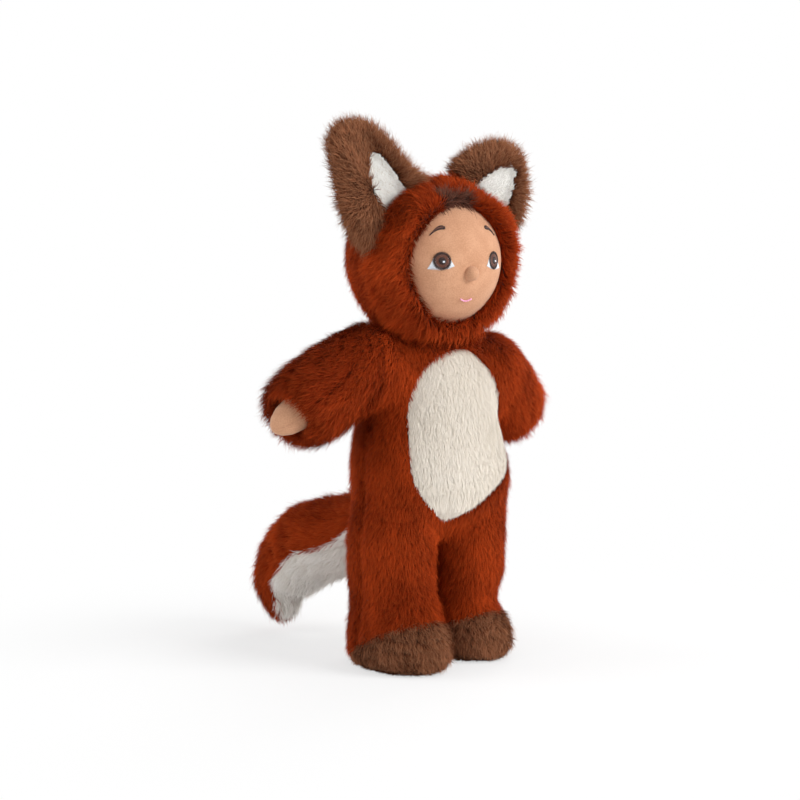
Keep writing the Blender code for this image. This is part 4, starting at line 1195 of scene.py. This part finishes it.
# %% [markdown]
# ## The hands
# A hand is a small stuffed mitten of skin cloth that looks out of the cuff. Its two halves are
# sewn along the edge, so a seam with small stitches runs over its tip.
# %% Hands
HAND = np.array([(0, 11), (9, 13.4), (18, 13.4), (26, 11.8), (32, 8.6), (35.5, 5.0), (37.5, 0.5)]) * mm
HAND_START = 47 * mm
HAND_DROP = 0.12
hands = {}
for side in SIDES:
    start = shoulders[side] + along[side] * HAND_START
    across = np.cross(along[side], (0, 0, 1))
    across /= np.linalg.norm(across)
    upright = np.cross(across, along[side])

    def hand_field(p):
        away = p - start
        t, x, z = away @ along[side], away @ across, away @ upright
        z = z + HAND_DROP * np.maximum(t, 0)
        wide = np.interp(t, HAND[:, 0], HAND[:, 1])
        seam = 0.5 * mm * bump_at(z, 0.9 * mm)
        return blend_in(oval_field(x, z, wide, wide * 0.86), -t, 3 * mm) + seam

    points, faces = skin_of(hand_field, start - 42 * mm, start + 42 * mm, 1.5 * mm)
    hands[side] = piece("hand_cloth_" + side, points, faces, SKIN)
    tree = BVHTree.FromPolygons(*plain_lists(points, faces))
    stitches, places = [], []
    for i in range(25):
        t = HAND[-1, 0] * (1 - abs(i - 12) / 12 * 0.8) - 0.4 * mm
        wide = np.interp(t, HAND[:, 0], HAND[:, 1]) * np.sign(i - 12.01)
        aim = start + along[side] * t + across * wide - upright * HAND_DROP * t
        hit, normal, _, _ = tree.find_nearest(Vector(aim))
        places.append((hit + normal * 0.1 * mm, normal))
    for a, b in zip(places, places[1:]):
        gap = (b[0] - a[0]) * 0.2
        stitches.append(((a[0] + gap, a[1]), (b[0] - gap, b[1])))
    embroidery["hand_" + side] = embroider("hand_seam_" + side, stitches, SEAM_THREAD, 0.2 * mm, 0.15 * mm)
print("hands:", sorted(hands))

# %% [markdown]
# ## The tail
# The tail is a comma-shaped bag in two halves: rust outside the curl, white inside it, and the
# rust half is a little the wider. Rings of points along a curve make its skin, and the pile is
# combed to the tip.
# %% The tail's form
TAIL_REACH = np.array((-42, 101, -88)) * mm
TAIL_SHARES = np.array([(0, 0, 0), (0.11, 0.20, 0.11), (0.28, 0.48, 0.29), (0.58, 0.80, 0.42), (0.85, 1.00, 0.72),
                        (0.97, 0.95, 0.99)])
TAIL_WIDE = np.array((0.56, 0.75, 0.90, 0.99, 0.75, 0.34)) * 30.5 * mm
TAIL_HUB = np.array((0.40, 0.45, 0.80))
TAIL_PILE = 3.5 * mm
RUST_FROM = -0.36
root = place_of("tail_lift")
line = root + smooth_route(TAIL_SHARES, 9) * TAIL_REACH
wide = smooth_route(TAIL_WIDE[:, None], 9)[:, 0] - TAIL_PILE
hub = root + TAIL_HUB * TAIL_REACH
tangent = np.gradient(line, axis=0)
tangent /= np.linalg.norm(tangent, axis=1)[:, None]
count = 40
turns = tau * np.arange(count) / count
rings = []
for p, t, r in zip(line, tangent, np.maximum(wide, 1.5 * mm)):
    out = p - hub
    out -= t * (out @ t)
    out /= np.linalg.norm(out)
    rings.append(p + np.outer(r * np.cos(turns), out) + np.outer(r * np.sin(turns), np.cross(t, out)))
points = np.concatenate(rings + [[line[-1] + tangent[-1] * 1.5 * mm]])
faces = np.array(tube_faces(len(rings), count, capped=False))
last, tip = (len(rings) - 1) * count, len(points) - 1
tip_faces = [(last + j, last + (j + 1) % count, tip) for j in range(count)]
comb = np.concatenate([np.repeat(tangent, count, 0), tangent[-1:]])
outer = np.cos((np.arange(count) + 0.5) * tau / count) > RUST_FROM
print("tail:", len(rings), "rings")

# %% [markdown]
# Each half keeps the faces on its side of the ring, and the triangles of the tip there.
# %% Grow the tail's pile
TAIL_LOOK = dict(length=9.5 * mm, rise=0.5, wild=0.4, width=0.5 * mm, tuft_size=7 * mm, tuft_pull=0.5, uneven=0.6)
for name, keep, finish, under, seed in (
    ("tail_top", outer, RUST, UNDER["rust"], 12),
    ("tail_underside", ~outer, WHITE, UNDER["cream"], 13),
):
    chosen = [tuple(f) for f in faces[np.tile(keep, len(rings) - 1)]]
    chosen += [f for f, kept in zip(tip_faces, keep) if kept]
    used = sorted({i for f in chosen for i in f})
    number = {old: new for new, old in enumerate(used)}
    half = [tuple(number[i] for i in f) for f in chosen]
    fur(name, points[used], half, comb[used], np.ones(len(used)), finish, under, seed, **TAIL_LOOK)

# %% [markdown]
# ## Soles
# The soles are flat ovals of dark cloth under the feet. The left one is as much shorter as its
# foot.
# %% Soles
SOLE_ROWS = ((0.0, 0.80), (0.0004, 0.835), (0.0012, 0.85), (0.0024, 0.85), (0.0031, 0.81))
soles = {}
for side in SIDES:
    low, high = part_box("sole_" + side)
    toe = TOE_TRIM[side]
    centre = (low + high) / 2 + Vector((-SIDES[side] * toe / 4, toe / 2, 0))
    half = (high - low) / 2 - Vector((toe / 4, toe / 2, 0))
    rows = [oval_row(*centre.xy, z, half.x * share, half.y * share, 64) for z, share in SOLE_ROWS]
    points = [p for row in rows for p in row]
    soles[side] = piece("sole_cloth_" + side, points, tube_faces(len(rows), 64), SOLE)
print("soles:", sorted(soles))

# %% [markdown]
# ## Stuffing and neck
# The stuffing is white fibre: each lump is the CAD form, made of finer faces, unevenly drawn in
# and kept under the suit. It narrows towards a limb's joint, where the cloth folds. The neck is
# a short tube of cloth.
# %% Inner pieces
def slimmer(p, node):
    """The stuffing of a limb, narrowed towards its joint."""
    for side in SIDES:
        if node == "leg_filling_" + side:
            share = np.interp(p[:, 2], (45 * mm, 75 * mm, 100 * mm), (1, 0.76, 0.4))
            axis = hips[side] * (1, 1, 0) + p * (0, 0, 1)
            return axis + (p - axis) * share[:, None]
        if node == "arm_filling_" + side:
            t = (p - shoulders[side]) @ along[side]
            share = np.interp(t, (0, 25 * mm, 48 * mm), (0.4, 0.75, 1))
            axis = shoulders[side] + t[:, None] * along[side]
            return axis + (p - axis) * share[:, None]
    return p


stuffed = {}
for node in [n for n in frame["nodes"] if n.endswith(("filling", "filling_right", "filling_left"))]:
    mesh = frame["nodes"][node].data.copy()
    lump = into_scene(node.replace("filling", "stuffing"), mesh)
    shape = bmesh.new()
    shape.from_mesh(mesh)
    bmesh.ops.remove_doubles(shape, verts=shape.verts, dist=1e-6)
    shape.to_mesh(mesh)
    shape.free()
    fine = lump.modifiers.new("fine", "REMESH")
    fine.mode, fine.voxel_size = "VOXEL", 3.5 * mm
    ease = lump.modifiers.new("ease", "SMOOTH")
    ease.iterations = 3
    made = plain_copy(lump, lump.name + "_lump")
    bpy.data.objects.remove(lump)
    for point in made.data.vertices:
        x, y, z = point.co
        point.co -= point.normal * (3.4 + 1.4 * sin(z * 520) * sin(x * 430 + y * 390)) * mm
    if "head" not in node and "tail" not in node:
        places = slimmer(np.array([tuple(point.co) for point in made.data.vertices]), node)
        for _ in range(24):
            out = (suit_field(places) > -2.6 * mm)[:, None]
            places = np.where(out, settle(places, lambda p: suit_field(p) + 3 * mm, 1), places)
        made.data.vertices.foreach_set("co", places.ravel())
    made.data.materials.clear()
    made.data.materials.append(STUFFING)
    made.data.shade_smooth()
    stuffed[node] = made
low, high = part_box("neck")
points = []
for z, share in ((low.z, 0.96), (low.z + 4 * mm, 1.0), (low.z + 16 * mm, 0.97), (high.z - 1 * mm, 0.99)):
    points += oval_row(head[0], head[1], z, 14.8 * mm * share, 14.8 * mm * share, 48)
neck = piece("neck_cloth", points, tube_faces(4, 48), SKIN)
print("stuffing:", sorted(stuffed))

# %% [markdown]
# ## What moves with what
# Most pieces ride on the body of the frame that carries them and stand for the frame's own
# piece. The fur of a leg or a sleeve rides on no body: it stays where it was made and stands
# for the frame's leg or sleeve.
# %% Ride and replace
def stand_for(node):
    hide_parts(node)


def wear(made, body, node):
    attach(made, body)
    stand_for(node)


def bend_with(made, end, node):
    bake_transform(made)
    stand_for(node)


for name, body, node, slot_name in (
    ("body_front", "torso", "torso_skin", "rust_fur"),
    ("body_back", "torso", "torso_skin", "rust_fur"),
    ("panel", "torso", "belly_panel", "cream_fur"),
    ("hood_front", "head", "hood_front", "rust_fur"),
    ("hood_back", "head", "hood_back", "rust_fur"),
    ("hair", "head", "hair_tuft", "hair"),
    ("tail_top", "tail", "tail_top", "rust_fur"),
    ("tail_underside", "tail", "tail_underside", "white_fur"),
    ("foot_right", "leg_right", "foot_cap_right", "brown_fur"),
    ("foot_left", "leg_left", "foot_cap_left", "brown_fur"),
    ("ear_right", "ear_right", "ear_back_right", "brown_fur"),
    ("ear_left", "ear_left", "ear_back_left", "brown_fur"),
    ("ear_lining_right", "ear_right", "ear_lining_right", "white_fur"),
    ("ear_lining_left", "ear_left", "ear_lining_left", "white_fur"),
):
    for made in dressed[name]:
        wear(made, body, node)
for side, sign in SIDES.items():
    cut, start = LEG_CUT * (sign, 1, 1), middle + LEG_CUT_AT * (sign, 1, 1)
    for made in dressed["leg_" + side]:
        bend_with(made, start + cut * 34 * mm, "leg_skin_" + side)
    start = shoulders[side] + level[side] * ARM_CUT
    for made in dressed["sleeve_" + side]:
        end = start + level[side] * 30 * mm
        bend_with(made, end, "sleeve_" + side)
    wear(hands[side], "arm_" + side, "hand_" + side)
    wear(embroidery["hand_" + side], "arm_" + side, "hand_" + side)
    wear(soles[side], "leg_" + side, "sole_" + side)
    wear(embroidery["eye_white_" + side], "head", "eye_white_" + side)
    wear(embroidery["iris_" + side], "head", "iris_" + side)
    wear(embroidery["brow_" + side], "head", "brow_" + side)
wear(embroidery["mouth"], "head", "mouth")
wear(face, "head", "head_skin")
wear(nose, "head", "nose")
wear(neck, "neck", "neck")
for node, made in stuffed.items():
    wear(made, node.replace("_filling", ""), node)

# %% [markdown]
# ## Floor and light
# The doll stands on a pale floor in soft studio light: a large lamp high on the doll's left, a
# weak one low on its right and two from behind. What the camera sees of the floor beyond the
# doll's own shadow is plain white, as is the air behind it.
# %% Stage
scene = bpy.context.scene


def seen_directly(board):
    """1 for rays from the camera, also those by way of a mirror or glass."""
    path = board.add("ShaderNodeLightPath")
    first = board.sum("MAXIMUM", path.also("Is Camera Ray"), path.also("Is Glossy Ray"))
    return board.sum("MAXIMUM", first, path.also("Is Transmission Ray"))


floor_finish, board, shader = new_finish("floor", 0.9)
shader.inputs["Base Color"].default_value = (0.93, 0.93, 0.93, 1)
glow = board.add("ShaderNodeEmission", inputs={"Color": (1.0, 1.0, 1.0, 1), "Strength": 1.0})
x, y, _ = board.split(board.add("ShaderNodeTexCoord").also("Object"))
away = ((x - middle[0]) ** 2.0 + (y - middle[1]) ** 2.0) ** 0.5
share = seen_directly(board) * (0.62 + 0.38 * board.between(away, 0.12, 0.40))
both = board.add("ShaderNodeMixShader", inputs={0: share, 1: Wire(board, shader.outputs[0]), 2: glow})
board.plug(board.tree.nodes["Material Output"].inputs["Surface"], both)
floor = piece("floor", [(-6, -6, 0), (6, -6, 0), (6, 6, 0), (-6, 6, 0)], [(0, 1, 2, 3)], floor_finish)

world = bpy.data.worlds.new("studio")
scene.world = world
world.use_nodes = True
board = Board(world.node_tree)
back = world.node_tree.nodes["Background"]
back.inputs["Color"].default_value = (1, 1, 1, 1)
board.plug(back.inputs["Strength"], 0.46 + 0.54 * seen_directly(board))


def lamp(name, place, size, power):
    data = bpy.data.lights.new(name, "AREA")
    data.size, data.energy = size, power
    made = bpy.data.objects.new(name, data)
    made.location = place
    made.rotation_euler = (Vector((0.03, 0, 0.19)) - Vector(place)).to_track_quat("-Z", "Y").to_euler()
    scene.collection.objects.link(made)


lamp("key", (1.15, -1.55, 1.2), 1.2, 41)
lamp("fill", (-1.5, -0.7, 0.35), 1.2, 4.5)
lamp("rim left", (-1.3, 0.9, 0.9), 1.0, 10)
lamp("rim right", (1.5, 0.9, 1.2), 1.0, 9)
print(len(bpy.data.lights), "lamps")

# %% [markdown]
# ## Camera
# The camera stands on the doll's right with a long lens and looks down a little. It aims past
# the doll's middle, so that the doll stands right of the picture's middle.
# %% Camera
CAMERA_TURN, CAMERA_AWAY, CAMERA_HIGH = radians(35), 1.3, 0.30
data = bpy.data.cameras.new("camera")
data.lens, data.sensor_width = 85, 36
camera = bpy.data.objects.new("camera", data)
scene.collection.objects.link(camera)
toward = Vector((-sin(CAMERA_TURN), -cos(CAMERA_TURN), 0))
place = Vector(middle) + toward * CAMERA_AWAY + Vector((0, 0, CAMERA_HIGH))
right = Vector((cos(CAMERA_TURN), -sin(CAMERA_TURN), 0))
aim = Vector(middle) - right * 19.6 * mm + Vector((0, 0, CAMERA_HIGH - CAMERA_AWAY * 174 / 1888.9))
camera.location = place
camera.rotation_euler = (aim - place).to_track_quat("-Z", "Y").to_euler()
scene.camera = camera
scene.view_settings.view_transform = "Standard"
print("camera at", tuple(round(v, 3) for v in place))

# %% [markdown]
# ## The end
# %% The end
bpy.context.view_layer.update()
